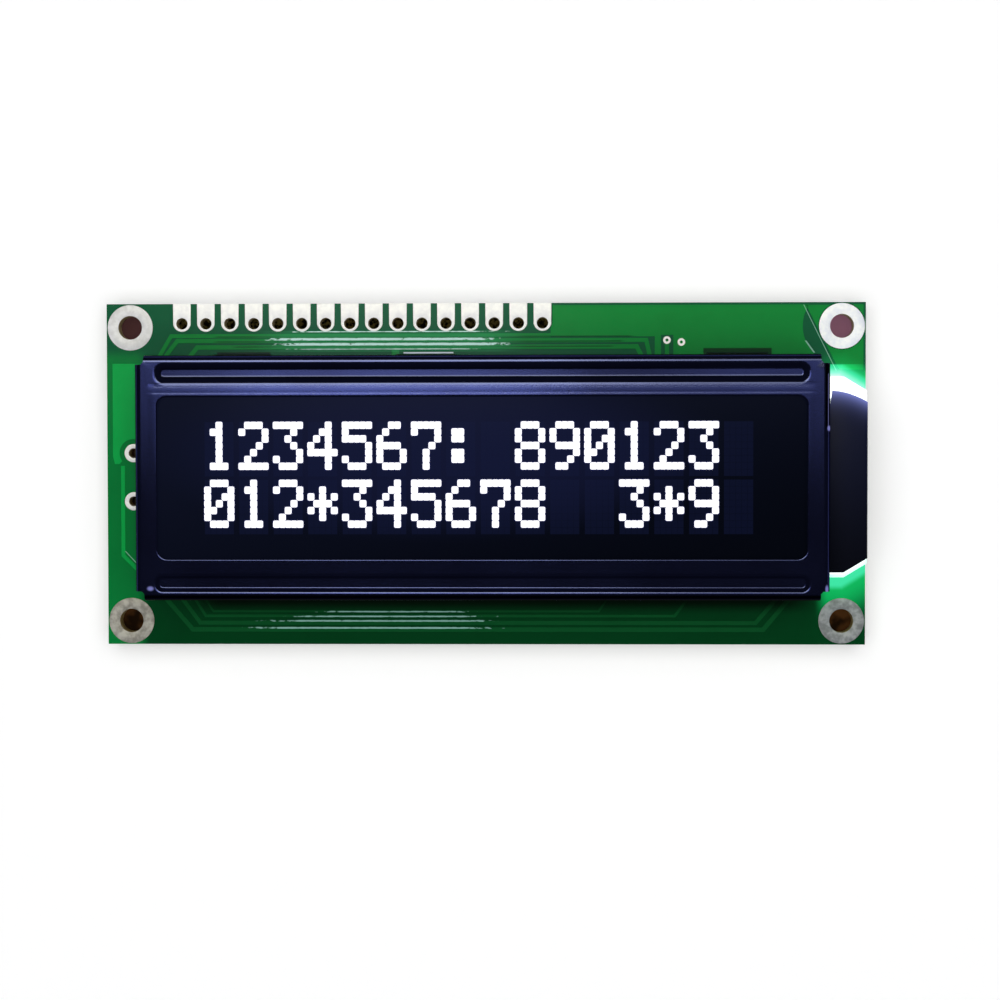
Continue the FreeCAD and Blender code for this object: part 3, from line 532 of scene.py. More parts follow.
@dataclass(frozen=True)
class BezelPaint(Finish):
    """Blue-black satin coat on the folded sheet, with painted shade where it stands steep, in the upper rib,
    along the lower bend and in the gap at the right bend, and painted glints.
    """

    # Painted highlight spots at the lower corners and on the right bend.
    glint_spots: tuple = ((-34.15, -11.65, 0.5, 0.35), (35.1, -11.7, 0.25, 0.6), (35.3, 4.7, 0.3, 0.4))
    swell: tuple = (8.55, 9.25, 0.0208)
    lip: tuple = (8.5, 8.2, 0.0135)
    strip: tuple = ((-33.6, 33.2), (0, 9.4))
    # Painted shadow in the gap at the right bend.
    slit_shadow: tuple = ((34.95, 35.6), (4.7, 11.2))
    # Painted glint along the right bend.
    slit_glint: tuple = (35.22, (4.85, 10.2))
    # Painted shade in the upper rib.
    groove_shade: tuple = ((-32, 16), (9.5, 12), (8.36, 8.28))
    # Painted shade along the lower bend.
    under: tuple = (-12.2, -12.45)

    def dress(self, graph: Graph) -> Node:
        """Builds the coat.

        Args:
            graph: Empty graph to build it in.

        Returns:
            The shader.
        """
        x, y, z = graph.place()
        grain = graph.noise(9, 2)
        broad = graph.noise(0.12, 2)
        slit_shadow = x.inside(*self.slit_shadow[0], 0.06) * y.inside(*self.slit_shadow[1], 0.15)
        groove_shade = x.inside(*self.groove_shade[0], 10) * y.inside(*self.groove_shade[1], 0.1) * z.ramp(*self.groove_shade[2])
        # Painted shade on steep faces, in the gap at the right bend and along the lower bend.
        dark = abs(graph.facing()).ramp(0.8, 0.35).most(slit_shadow).most(y.ramp(*self.under))
        coat = graph.mix(broad.ramp(0.3, 0.7), tone("2b2f53"), tone("2f345b"))
        coat = graph.mix(groove_shade * 0.42, coat, tone("101018"))
        coat = graph.mix(dark * 0.9, coat, tone("040408"))
        # Painted glints on the right bend and at the corners.
        glint = abs(x - self.slit_glint[0]).ramp(0.06, 0.02) * y.inside(*self.slit_glint[1], 0.15) * 0.5
        for at_x, at_y, half_x, half_y in self.glint_spots:
            glint = glint + (((x - at_x) / half_x) ** 2 + ((y - at_y) / half_y) ** 2).ramp(1, 0) ** 2
        start, end, depth = self.swell
        high, low, lift = self.lip
        rise = y.ramp(high, low) * lift - y.ramp(start, end) ** 2 * depth
        rise = rise * (x.inside(*self.strip[0], 0.9) * y.inside(*self.strip[1], 0.05))
        return graph.surface(
            base_color=coat,
            metallic=0.9,
            roughness=0.08 + grain * 0.03 + broad * 0.02,
            specular_ior_level=0.2,
            specular_tint=(0.1, 0.1, 0.14, 1),
            emission_color=graph.tinted(glint, tone("7476b4")),
            emission_strength=1.0,
            normal=graph.bump(grain * 0.004 + rise, 1.0),
        )


@dataclass(frozen=True)
class PolariserFilm(Finish):
    """Dark film over the cell, through which the unlit dots and a little light show, with a painted reflection
    of the lamp.
    """

    first: tuple
    pitch: tuple
    dot: tuple
    gap: float = 0.03
    soft: float = 0.02

    def cells(self, along: Value, axis: int, dots: int, signs: int) -> tuple[Value, Value]:
        """Unlit characters and the dots in them, along one axis.

        Args:
            along: Distance from the first dot's edge.
            axis: 0 along a line, 1 across it.
            dots: Dots in a character.
            signs: Number of characters.

        Returns:
            Mask of the characters and mask of the dots.
        """
        pitch, dot = self.pitch[axis], self.dot[axis]
        size = dots * dot
        sign = (along % pitch).ramp(size + self.soft, size - self.soft)
        sign = sign * along.inside(0, (signs - 1) * pitch + size, self.soft)
        return sign, (along % pitch % dot).inside(self.gap, dot - self.gap, self.soft)

    def dress(self, graph: Graph) -> Node:
        """Builds the film.

        Args:
            graph: Empty graph to build it in.

        Returns:
            The shader.
        """
        x, y, _ = graph.place()
        sign_x, dot_x = self.cells(x - self.first[0], 0, 5, 16)
        sign_y, dot_y = self.cells(self.first[1] - y, 1, 8, 2)
        cells = sign_x * sign_y * (0.45 + dot_x * dot_y * 0.55)
        # Painted reflection of the lamp with some backlight: brightest near the middle, darker towards the
        # lower right.
        reach = ((x + 5) / 26) ** 2 + ((y - 2.5) / 8) ** 2
        corner = (y / 9 - x / 34).ramp(-2, 2)
        leak_and_reflection = graph.mix(corner, tone("020408"), tone("0c1020"))
        leak_and_reflection = graph.mix(reach.ramp(1.5, 0), leak_and_reflection, tone("10142e"))
        return graph.surface(
            base_color=tone("030308"),
            roughness=0.12,
            specular_ior_level=0.02,
            emission_color=graph.mix(cells * 0.4, leak_and_reflection, tone("121836")),
            emission_strength=1.0,
        )


@dataclass(frozen=True)
class Glow(Finish):
    """Lit surface of one colour."""

    colour: str
    strength: float

    def dress(self, graph: Graph) -> Node:
        """Builds the light."""
        return graph.surface(
            base_color=tone("101014"),
            roughness=0.5,
            emission_color=tone(self.colour),
            emission_strength=self.strength,
        )


@dataclass(frozen=True)
class LitPlastic(Finish):
    """White translucent moulding with a painted glow round its lamps, painted green along the house's lower
    rim.
    """

    house: HousePlan = HousePlan()
    lit: tuple = (30, 35)

    def dress(self, graph: Graph) -> Node:
        """Builds the plastic.

        Args:
            graph: Empty graph to build it in.

        Returns:
            The shader.
        """
        x, y, _ = graph.place()
        cloud = graph.noise(0.5, 2)
        lit = x.ramp(*self.lit)
        over = self.house.beyond(x, self.house.middle - self.house.half - y)
        # Painted glow, brighter near the lamps and green along the lower rim.
        warm = graph.mix(lit, tone("404850"), tone("f4fbff"))
        warm = graph.mix(over.ramp(-0.5, -0.2) * lit, warm, (0.22, 0.95, 0.62, 1))
        return graph.surface(
            base_color=graph.mix(cloud, tone("e6e8ea"), tone("f2f4f4")),
            roughness=0.4,
            emission_color=warm,
            emission_strength=0.9,
            normal=graph.bump(cloud, 0.01),
        )


@dataclass(frozen=True)
class Stripes(Finish):
    """Rubber connector with fine conducting layers across its length."""

    pitch: float = 0.18

    def dress(self, graph: Graph) -> Node:
        """Builds the stripes.

        Args:
            graph: Empty graph to build it in.

        Returns:
            The shader.
        """
        x, y, _ = graph.place()
        layer = (x % self.pitch).ramp(self.pitch * 0.45, self.pitch * 0.55)
        middle = abs(abs(y + 0.3) - 10.5).ramp(0.45, 0.4)
        colour = graph.mix(layer * middle, tone("b9a6a0"), tone("16161a"))
        return graph.surface(base_color=colour, roughness=0.6)


@dataclass(frozen=True)
class Clear(Finish):
    """Clear glass or acrylic."""

    colour: str
    index: float

    def dress(self, graph: Graph) -> Node:
        """Builds the clear body."""
        haze = graph.noise(0.3, 2)
        return graph.surface(
            base_color=tone(self.colour),
            roughness=0.03 + haze * 0.04,
            transmission_weight=0.9,
            ior=self.index,
        )


@dataclass(frozen=True)
class DarkTape(Finish):
    """Smooth dark tape, with painted light under its upper end and a painted sheen, lighter towards the top.
    """

    upper: tuple = (35.98, 8.6, 3.67, 1.2, 0.22)

    def dress(self, graph: Graph) -> Node:
        """Builds the tape.

        Args:
            graph: Empty graph to build it in.

        Returns:
            The shader.
        """
        x, y, z = graph.place()
        start, high, run, fall, bow = self.upper
        along = (x - start) / run
        middle = along * 2 - 1
        depth = high - along * fall + (1 - middle * middle) * bow - y
        light = 0.2 ** depth.most(0) * z.ramp(5.2, 5.6) * graph.facing().ramp(-0.1, 0.3)
        crease = graph.noise(0.25, 2, (1, 0.5, 1))
        # Lighter towards the top: painted sheen.
        colour = graph.mix(y.ramp(-11, 9), tone("090b15"), tone("141830"))
        return graph.surface(
            base_color=colour,
            roughness=0.3 + crease * 0.1,
            specular_ior_level=0.03,
            emission_color=graph.tinted(light, (0.18, 0.21, 0.56, 1)),
            emission_strength=1.0,
            normal=graph.bump(crease, 0.05),
        )


TIN = Tin("tin")
COPPER_LACQUER = BoardLacquer("copper_lacquer", Level.COPPER)
SILICON = Plain("silicon", "50545c", "6a6e78", 0.3, metallic=0.4)
RESIN = Plain("potting_resin", "0d0d0e", "1a1a1c", 0.38, grain=1.2, depth=0.05)
GOLD = Plain("gold_plate", "c79a3e", "dcb257", 0.35, metallic=1.0)
CERAMIC = Plain("capacitor_ceramic", "8f6f4c", "a5845d", 0.5, grain=4)
BLACK_CERAMIC = Plain("resistor_ceramic", "121214", "202024", 0.4, grain=4)
WHITE_FILM = Plain("white_film", "eceeee", "f6f7f7", 0.5)
LAMP_BODY = Plain("lamp_body", "e9e4cf", "f2eedd", 0.45)
DARK_GLASS = Plain("dark_glass", "0a0b12", "0c0d15", 0.1, depth=0.0, specular=0.2)
SEAL = Plain("seal_resin", "8b8f8a", "a6aaa4", 0.6)


def chosen(parts: Iterable, kind: type) -> list:
    """Parts of one kind among corners, edges and faces."""
    return [part for part in parts if isinstance(part, kind)]


def chain(mesh: Mesh, corners: list, closed: bool) -> list:
    """Edges from each corner to the next, and back to the first where the chain is closed."""
    return [mesh.edges.new(pair) for pair in zip(corners, corners[1:] + corners[: int(closed)])]


def rounded_off(mesh: Mesh, parts: list, affect: str, offset: float, segments: int, clamp: bool) -> list:
    """Bevels edges or corners and returns the corners that this makes."""
    settings = {"affect": affect, "profile": 0.5, "material": -1, "clamp_overlap": clamp}
    return bmesh.ops.bevel(mesh, geom=parts, offset=offset, segments=segments, **settings)["verts"]


def soften(piece: bpy.types.Object, width: float, segments: int, angle: float) -> None:
    """Rounds the sharp edges of a finished piece and keeps its flat faces flat.

    Args:
        piece: The piece.
        width: Width of the rounding.
        segments: Steps across it.
        angle: Degrees past which an edge is sharp.
    """
    edge = piece.modifiers.new("soft_edge", "BEVEL")
    edge.width = width * MM
    edge.segments = segments
    edge.limit_method = "ANGLE"
    edge.angle_limit = math.radians(angle)
    piece.modifiers.new("flat_faces", "WEIGHTED_NORMAL").keep_sharp = True


class Form:
    """Mesh under construction, in millimetres."""

    def __init__(self) -> None:
        """Starts an empty mesh."""
        self.mesh = bmesh.new()

    def turned(self, profile: list, centre: tuple, steps: int, closed: bool = True) -> None:
        """Spins a profile round an upright axis.

        Args:
            profile: Radius and height of each corner, all off the axis where it is closed.
            centre: Place of the axis.
            steps: Steps of the full turn.
            closed: Whether the profile is a ring, or a line that ends on the axis.
        """
        x, y = centre
        corners = [self.mesh.verts.new((x + r, y, z)) for r, z in profile]
        edges = chain(self.mesh, corners, closed)
        axis = {"cent": (x, y, 0), "axis": (0, 0, 1), "angle": math.tau, "steps": steps, "use_merge": True}
        bmesh.ops.spin(self.mesh, geom=corners + edges, **axis)
        if not closed:
            bmesh.ops.remove_doubles(self.mesh, verts=self.mesh.verts, dist=SAME)

    def slab(self, low: tuple, high: tuple) -> None:
        """Adds a box between two corners.

        Args:
            low: Lowest corner.
            high: Highest corner.
        """
        size = Matrix.Diagonal([b - a for a, b in zip(low, high)] + [1])
        middle = Matrix.Translation([(a + b) / 2 for a, b in zip(low, high)])
        bmesh.ops.create_cube(self.mesh, size=1, matrix=middle @ size)

    def raised(self, faces: list, height: float) -> None:
        """Extrudes faces upwards and keeps the old ones as the underside."""
        made = bmesh.ops.extrude_face_region(self.mesh, geom=faces, use_keep_orig=True)["geom"]
        bmesh.ops.translate(self.mesh, vec=(0, 0, height), verts=chosen(made, bmesh.types.BMVert))

    def plate(self, loops: list, thickness: float) -> None:
        """Fills the area between closed loops of edges and gives it thickness upwards.

        Args:
            loops: Edges of each loop.
            thickness: Height of the plate.
        """
        edges = [edge for loop in loops for edge in loop]
        filled = bmesh.ops.triangle_fill(self.mesh, use_beauty=True, edges=edges)["geom"]
        self.raised(chosen(filled, bmesh.types.BMFace), thickness)

    def rounded(self, offset: float, angle: float) -> None:
        """Rounds every edge sharper than an angle.

        Args:
            offset: Reach of the rounding.
            angle: The angle in degrees.
        """
        bmesh.ops.recalc_face_normals(self.mesh, faces=self.mesh.faces)
        limit = math.radians(angle)
        sharp = [e for e in self.mesh.edges if e.is_manifold and e.calc_face_angle() > limit]
        rounded_off(self.mesh, sharp, "EDGES", offset, 2, True)

    def copied(self, node: str) -> None:
        """Adds a merged copy of a CAD node, with its flat faces joined.

        Args:
            node: Name of the node.
        """
        self.mesh.from_mesh(NODES[node].data)
        bmesh.ops.scale(self.mesh, vec=(1 / MM,) * 3, verts=self.mesh.verts)
        bmesh.ops.remove_doubles(self.mesh, verts=self.mesh.verts, dist=0.002)
        parts = {"verts": self.mesh.verts, "edges": self.mesh.edges}
        bmesh.ops.dissolve_limit(self.mesh, angle_limit=math.radians(1), **parts)

    def finish(
        self, name: str, finish: Finish, slot: str, replaced: tuple = (), crease: float = 35
    ) -> bpy.types.Object:
        """Turns the form into a finished piece that rides on the module.

        Args:
            name: Piece name.
            finish: Its finish.
            slot: The record's material slot; not used.
            replaced: CAD nodes that it stands for.
            crease: Angle in degrees past which an edge stays sharp.

        Returns:
            The piece.
        """
        bmesh.ops.recalc_face_normals(self.mesh, faces=self.mesh.faces)
        bmesh.ops.scale(self.mesh, vec=(MM,) * 3, verts=self.mesh.verts)
        data = bpy.data.meshes.new(name)
        self.mesh.to_mesh(data)
        self.mesh.free()
        data.polygons.foreach_set("use_smooth", [True] * len(data.polygons))
        data.set_sharp_from_angle(angle=math.radians(crease))
        piece = bpy.data.objects.new(name, data)
        bpy.context.scene.collection.objects.link(piece)
        data.materials.append(material_of(finish))
        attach(piece, BODY)
        if replaced:
            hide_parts(*replaced)
        LOG.info("%s: %d faces", name, len(data.polygons))
        return piece


def recoat(finish: Finish, *names: str) -> None:
    """Gives CAD nodes a finish.

    Args:
        finish: The finish.
        names: Names of the nodes.
    """
    for name in names:
        slots = NODES[name].data.materials
        slots.clear()
        slots.append(material_of(finish))


@dataclass
class Board:
    """Laminate, its copper under lacquer and the bare contacts."""

    soft_edge: float = 0.02
    via_places: tuple = ((19.18, 14.06), (20.69, 13.85))
    via_r: float = 0.4
    via_hole_r: float = 0.16
    via_low: float = 1.602
    via_high: float = 1.652

    def build(self) -> None:
        """Builds and dresses the board."""
        recoat(BoardLacquer("board_lacquer", Level.BARE), "circuit_board")
        recoat(GOLD, "contact_fingers")
        recoat(TIN, "chip_lands")
        for node in ("front_pours", "front_tracks"):
            form = Form()
            form.copied(node)
            piece = form.finish(f"lacquered_{node}", COPPER_LACQUER, "masked_copper", (node,), crease=60)
            soften(piece, self.soft_edge, 2, 60)
        for i, place in enumerate(self.via_places):
            form = Form()
            hole, rim, low, high = self.via_hole_r, self.via_r, self.via_low, self.via_high
            form.turned([(hole, low), (rim, low), (rim, high), (hole, high)], place, 20)
            form.finish(f"via_{i + 1}", TIN, "tin")


@dataclass
class Pads:
    """Tinned lands and pads with their plated barrels."""

    count: int = 16
    first: float = -32.0
    pitch: float = 2.54
    row: float = 15.9
    half: float = 0.94
    set_back: float = 0.1
    hole_r: float = 0.6
    edge: float = 18.0
    copper: float = 0.05
    board: float = 1.6
    mount: tuple = (37.5, 15.5, 2.4, 1.25)
    lamp: tuple = (0.97, 0.52)
    rounding: tuple = (0.018, 0.015)
    # Tin tones of the four rings, each set by painted light and shade, darkest on the lower two.
    ring_light_and_shade: tuple = (
        ("e6e6e9", "d2d2d4"),
        ("fbfdff", "e9edf8"),
        ("b3b1a8", "838079"),
        ("9da1a3", "727678"),
    )

    def build(self) -> None:
        """Builds every land and pad."""
        x, y, outer, hole = self.mount
        for i, place in enumerate([(-x, y), (x, y), (-x, -y), (x, -y)]):
            tin = Tin("ring_tin_lit_and_shaded", *self.ring_light_and_shade[i])
            self.land(f"mounting_ring_{i + 1}", f"mounting_land_{i + 1}", place, outer, hole, tin)
        for i in range(4):
            low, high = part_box(f"lamp_pad_{i + 1}")
            place = tuple(((low + high) / 2 / MM)[:2])
            self.land(f"lamp_ring_{i + 1}", f"lamp_pad_{i + 1}", place, *self.lamp, TIN)
        for i in range(self.count):
            self.header_pad(i + 1, self.first + i * self.pitch)

    def land(self, name: str, node: str, place: tuple, outer: float, hole: float, tin: Tin) -> None:
        """Builds a round land on both faces with its barrel.

        Args:
            name: Piece name.
            node: CAD node that it replaces.
            place: Centre.
            outer: Outer radius.
            hole: Hole radius.
            tin: Its finish.
        """
        form = Form()
        t, top = self.copper, self.board
        profile = [(hole, -t), (outer, -t), (outer, 0), (hole + t, 0), (hole + t, top)]
        form.turned(profile + [(outer, top), (outer, top + t), (hole, top + t)], place, 48)
        form.rounded(self.rounding[0], 50)
        form.finish(name, tin, "tin", (node,), crease=60)

    def header_pad(self, number: int, x: float) -> None:
        """Builds the pad that runs from the board's edge round a header hole, with its barrel.

        Args:
            number: Number of the hole.
            x: Place of the hole.
        """
        form = Form()
        for low in (self.board, -self.copper):
            self.pad_face(form, x, low)
        hole, wall, top = self.hole_r, self.hole_r + self.copper, self.board
        form.turned([(hole, 0), (wall, 0), (wall, top), (hole, top)], (x, self.row), 32)
        form.rounded(self.rounding[1], 50)
        form.finish(f"header_land_{number:02d}", TIN, "tin", (f"header_pad_{number:02d}",), crease=60)

    def pad_face(self, form: Form, x: float, low: float) -> None:
        """Adds one face of a header pad: a strip with a round end, cut off at the board's edge.

        Args:
            form: Form to add it to.
            x: Place of the hole.
            low: Height of the underside.
        """
        mesh, centre = form.mesh, Matrix.Translation((x, self.row, low))
        upper = Matrix.Translation((0, self.set_back, 0)) @ centre
        outer = bmesh.ops.create_circle(mesh, segments=32, radius=self.half, matrix=upper)["verts"]
        for corner in outer:
            if corner.co.y > self.row + self.set_back - SAME:
                corner.co.y = self.edge
        inner = bmesh.ops.create_circle(mesh, segments=32, radius=self.hole_r, matrix=centre)["verts"]
        form.plate([self.rim_of(outer), self.rim_of(inner)], self.copper)

    @staticmethod
    def rim_of(corners: list) -> list:
        """Edges of a closed loop of corners."""
        return list({edge for corner in corners for edge in corner.link_edges})


@dataclass
class SheetBezel:
    """Folded sheet bezel with its ribs, window and tabs, drawn round its own middle."""

    middle: tuple = (-0.15, -0.3)
    half: tuple = (35.6, 12.6)
    top: float = 8.6
    foot: float = 1.65
    sheet: float = 0.4
    bend: float = 0.7
    window: tuple = (33.25, 8.3, 1.0)
    corner: float = 0.95
    window_steps: tuple = ((0.04, 0.0), (0.05, 0.008), (0.1, 0.05))
    rib_length: float = 33.7
    ribs: tuple = ((10.65, 1.23, 1.5, 0.168), (-10.81, 1.07, 1.03, 0))
    rib_steps: tuple = (
        (0.03, 0.0),
        (0.12, 0.01),
        (0.06, 0.03),
        (0.15, 0.14),
        (0.14, 0.14),
        (0.06, 0.04),
        (0.08, 0.012),
    )
    passage: tuple = (10.65, 6.3)
    tabs: tuple = (-25.5, -6.0, 26.7)
    tab_half: float = 2.6
    tab_bend: float = 0.2
    tab_reach: float = 2.0
    taper: float = 0.6
    edge: float = 0.12

    def build(self) -> None:
        """Builds and paints the bezel."""
        form = Form()
        self.web(form.mesh)
        for side in (-1, 1):
            self.long_side(form.mesh, side)
            self.short_side(form.mesh, side)
        bmesh.ops.translate(form.mesh, vec=(*self.middle, 0), verts=form.mesh.verts)
        bmesh.ops.remove_doubles(form.mesh, verts=form.mesh.verts, dist=SAME)
        paint = BezelPaint("bezel_paint")
        piece = form.finish("sheet_bezel", paint, "bezel_paint", ("bezel",), crease=50)
        wall = piece.modifiers.new("sheet", "SOLIDIFY")
        wall.thickness = self.sheet * MM
        wall.offset = -1
        wall.use_even_offset = True
        soften(piece, self.edge, 3, 50)

    def web(self, mesh: Mesh) -> None:
        """Adds the front face with its window and the two embossed ribs.

        Args:
            mesh: Mesh to add it to.
        """
        lip = sum(run for run, _ in self.window_steps)
        window = self.rounded_loop(mesh, 0, *(size + lip for size in self.window))
        ribs = [self.rounded_loop(mesh, y, self.rib_length, half, half * 0.9) for y, half, _, _ in self.ribs]
        edges = self.outline(mesh) + [edge for loop in [window] + ribs for edge in loop]
        bmesh.ops.triangle_fill(mesh, use_beauty=True, edges=edges)
        for rib, (_, _, stretch, lean) in zip(ribs, self.ribs):
            self.emboss(mesh, rib, [(run * stretch, drop) for run, drop in self.rib_steps], lean)
        opening = self.emboss(mesh, window, self.window_steps)
        bmesh.ops.delete(mesh, geom=opening, context="FACES_ONLY")

    @staticmethod
    def emboss(mesh: Mesh, loop: list, steps: Iterable, lean: float = 0) -> list:
        """Fills a loop and presses it down in steps.

        Args:
            mesh: Mesh that holds it.
            loop: Its edges.
            steps: Run inwards and drop of each step.
            lean: Share of each run by which the floor moves up the page.

        Returns:
            The floor that is left.
        """
        floor = bmesh.ops.contextual_create(mesh, geom=loop)["faces"]
        bmesh.ops.recalc_face_normals(mesh, faces=floor)
        if floor[0].normal.z < 0:
            bmesh.ops.reverse_faces(mesh, faces=floor)
        for run, drop in steps:
            step = {"thickness": run, "depth": -drop, "use_even_offset": True}
            bmesh.ops.inset_individual(mesh, faces=floor, **step)
            bmesh.ops.translate(mesh, vec=(0, run * lean, 0), verts=floor[0].verts)
        return floor

    def outline(self, mesh: Mesh) -> list:
        """Adds the web's outline, with a corner wherever a tab or the lamp passage starts.

        Args:
            mesh: Mesh to add it to.

        Returns:
            Its edges.
        """
        x, y = (half - self.bend for half in self.half)
        end_x, end_y = (half - self.corner for half in self.half)
        across = sorted([place + side * self.tab_half for place in self.tabs for side in (-1, 1)])
        upper = [(u, y) for u in [-end_x] + across + [end_x]]
        right = [(x, v) for v in (end_y, self.passage[0], -self.passage[0], -end_y)]
        ring = upper + right + [(u, -v) for u, v in upper[::-1]] + [(-x, -end_y), (-x, end_y)]
        corners = [mesh.verts.new((u, v, self.top)) for u, v in ring]
        return chain(mesh, corners, True)

    def rounded_loop(self, mesh: Mesh, y: float, half_x: float, half_y: float, r: float) -> list:
        """Adds a closed loop of edges.

        Args:
            mesh: Mesh to add it to.
            y: Place of its middle line.
            half_x: Half length.
            half_y: Half width.
            r: Corner radius.

        Returns:
            The loop's edges.
        """
        size = Matrix.Translation((0, y, self.top)) @ Matrix.Diagonal((half_x, half_y, 1, 1))
        corners = bmesh.ops.create_grid(mesh, x_segments=1, y_segments=1, size=1, matrix=size)["verts"]
        face = rounded_off(mesh, corners, "VERTICES", r, 6, False)[0].link_faces[0]
        edges = list(face.edges)
        bmesh.ops.delete(mesh, geom=[face], context="FACES_ONLY")
        return edges

    def web_edges(self, mesh: Mesh, axis: int, place: float) -> list:
        """Edges of the web's outline that lie at one place along an axis."""
        low = self.top - SAME
        return [e for e in mesh.edges if all(abs(v.co[axis] - place) < SAME and v.co.z > low for v in e.verts)]

    def long_side(self, mesh: Mesh, side: int) -> None:
        """Adds a long bend, its flange and its tabs, which are folded behind the board.

        Args:
            mesh: Mesh to add it to.
            side: 1 for the upper or right side, -1 for the other.
        """
        y = self.half[1] - self.bend
        rim = self.web_edges(mesh, 1, side * y)
        rim = self.fold(mesh, rim, (0, side * y, self.top - self.bend), (1, 0, 0), -side * 90)
        rim = self.drop(mesh, rim, self.foot)
        tabs = [e for e in rim if abs(e.verts[0].co.x - e.verts[1].co.x) < 2.1 * self.tab_half]
        tabs = [e for e in tabs if min(abs(self.centre(e).x - place) for place in self.tabs) < 0.1]
        tabs = self.drop(mesh, tabs, self.tab_bend)
        turn_y = self.half[1] - self.sheet - self.tab_bend
        tabs = self.fold(mesh, tabs, (0, side * turn_y, self.tab_bend), (1, 0, 0), -side * 90)
        tips = self.extend(mesh, tabs, (0, -side * self.tab_reach, 0))
        ends = list({corner for edge in tips for corner in edge.verts})
        rounded_off(mesh, ends, "VERTICES", self.taper, 1, False)

    def short_side(self, mesh: Mesh, side: int) -> None:
        """Adds a short bend and its flange, with the lamp passage on the right.

        Args:
            mesh: Mesh to add it to.
            side: 1 for the upper or right side, -1 for the other.
        """
        x = self.half[0] - self.bend
        rim = self.web_edges(mesh, 0, side * x)
        rim = self.fold(mesh, rim, (side * x, 0, self.top - self.bend), (0, 1, 0), side * 90)
        half, lip = self.passage
        if side > 0:
            rim = self.drop(mesh, rim, lip)
            rim = [e for e in rim if abs(self.centre(e).y) > half]
        self.drop(mesh, rim, self.foot)

    @staticmethod
    def centre(edge: bmesh.types.BMEdge) -> Vector:
        """Middle of an edge."""
        return (edge.verts[0].co + edge.verts[1].co) / 2

    def fold(self, mesh: Mesh, rim: list, centre: tuple, axis: tuple, degrees: float) -> list:
        """Bends edges round an axis.

        Args:
            mesh: Mesh that holds them.
            rim: The edges.
            centre: Place of the axis.
            axis: Its way.
            degrees: Angle of the bend.

        Returns:
            The last row of edges.
        """
        corners = list({corner for edge in rim for corner in edge.verts})
        turn = {"cent": centre, "axis": axis, "angle": math.radians(degrees), "steps": 8}
        return chosen(bmesh.ops.spin(mesh, geom=corners + rim, **turn)["geom_last"], bmesh.types.BMEdge)

    def extend(self, mesh: Mesh, rim: list, way: tuple) -> list:
        """Extrudes edges along a way.

        Args:
            mesh: Mesh that holds them.
            rim: The edges.
            way: Distance on each axis.

        Returns:
            The new rim.
        """
        made = bmesh.ops.extrude_edge_only(mesh, edges=rim)["geom"]
        corners = chosen(made, bmesh.types.BMVert)
        bmesh.ops.translate(mesh, vec=way, verts=corners)
        fresh = set(corners)
        return [edge for edge in chosen(made, bmesh.types.BMEdge) if fresh.issuperset(edge.verts)]

    def drop(self, mesh: Mesh, rim: list, z: float) -> list:
        """Extrudes edges straight down to a height."""
        return self.extend(mesh, rim, (0, 0, z - rim[0].verts[0].co.z))


class Glyph(Enum):
    """Signs of the display in a matrix of five by seven dots, one number a row."""

    ZERO = ("0", (14, 17, 19, 21, 25, 17, 14))
    ONE = ("1", (4, 12, 4, 4, 4, 4, 14))
    TWO = ("2", (14, 17, 1, 2, 4, 8, 31))
    THREE = ("3", (31, 2, 4, 2, 1, 17, 14))
    FOUR = ("4", (2, 6, 10, 18, 31, 2, 2))
    FIVE = ("5", (31, 16, 30, 1, 1, 17, 14))
    SIX = ("6", (6, 8, 16, 30, 17, 17, 14))
    SEVEN = ("7", (31, 17, 1, 2, 4, 4, 4))
    EIGHT = ("8", (14, 17, 17, 14, 17, 17, 14))
    NINE = ("9", (14, 17, 17, 15, 1, 2, 12))
    COLON = (":", (0, 12, 12, 0, 12, 12, 0))
    STAR = ("*", (0, 4, 21, 14, 21, 4, 0))
    SPACE = (" ", (0, 0, 0, 0, 0, 0, 0))

    @classmethod
    def rows(cls, sign: str) -> tuple[int, ...]:
        """Rows of a sign, top first."""
        return next(glyph.value[1] for glyph in cls if glyph.value[0] == sign)


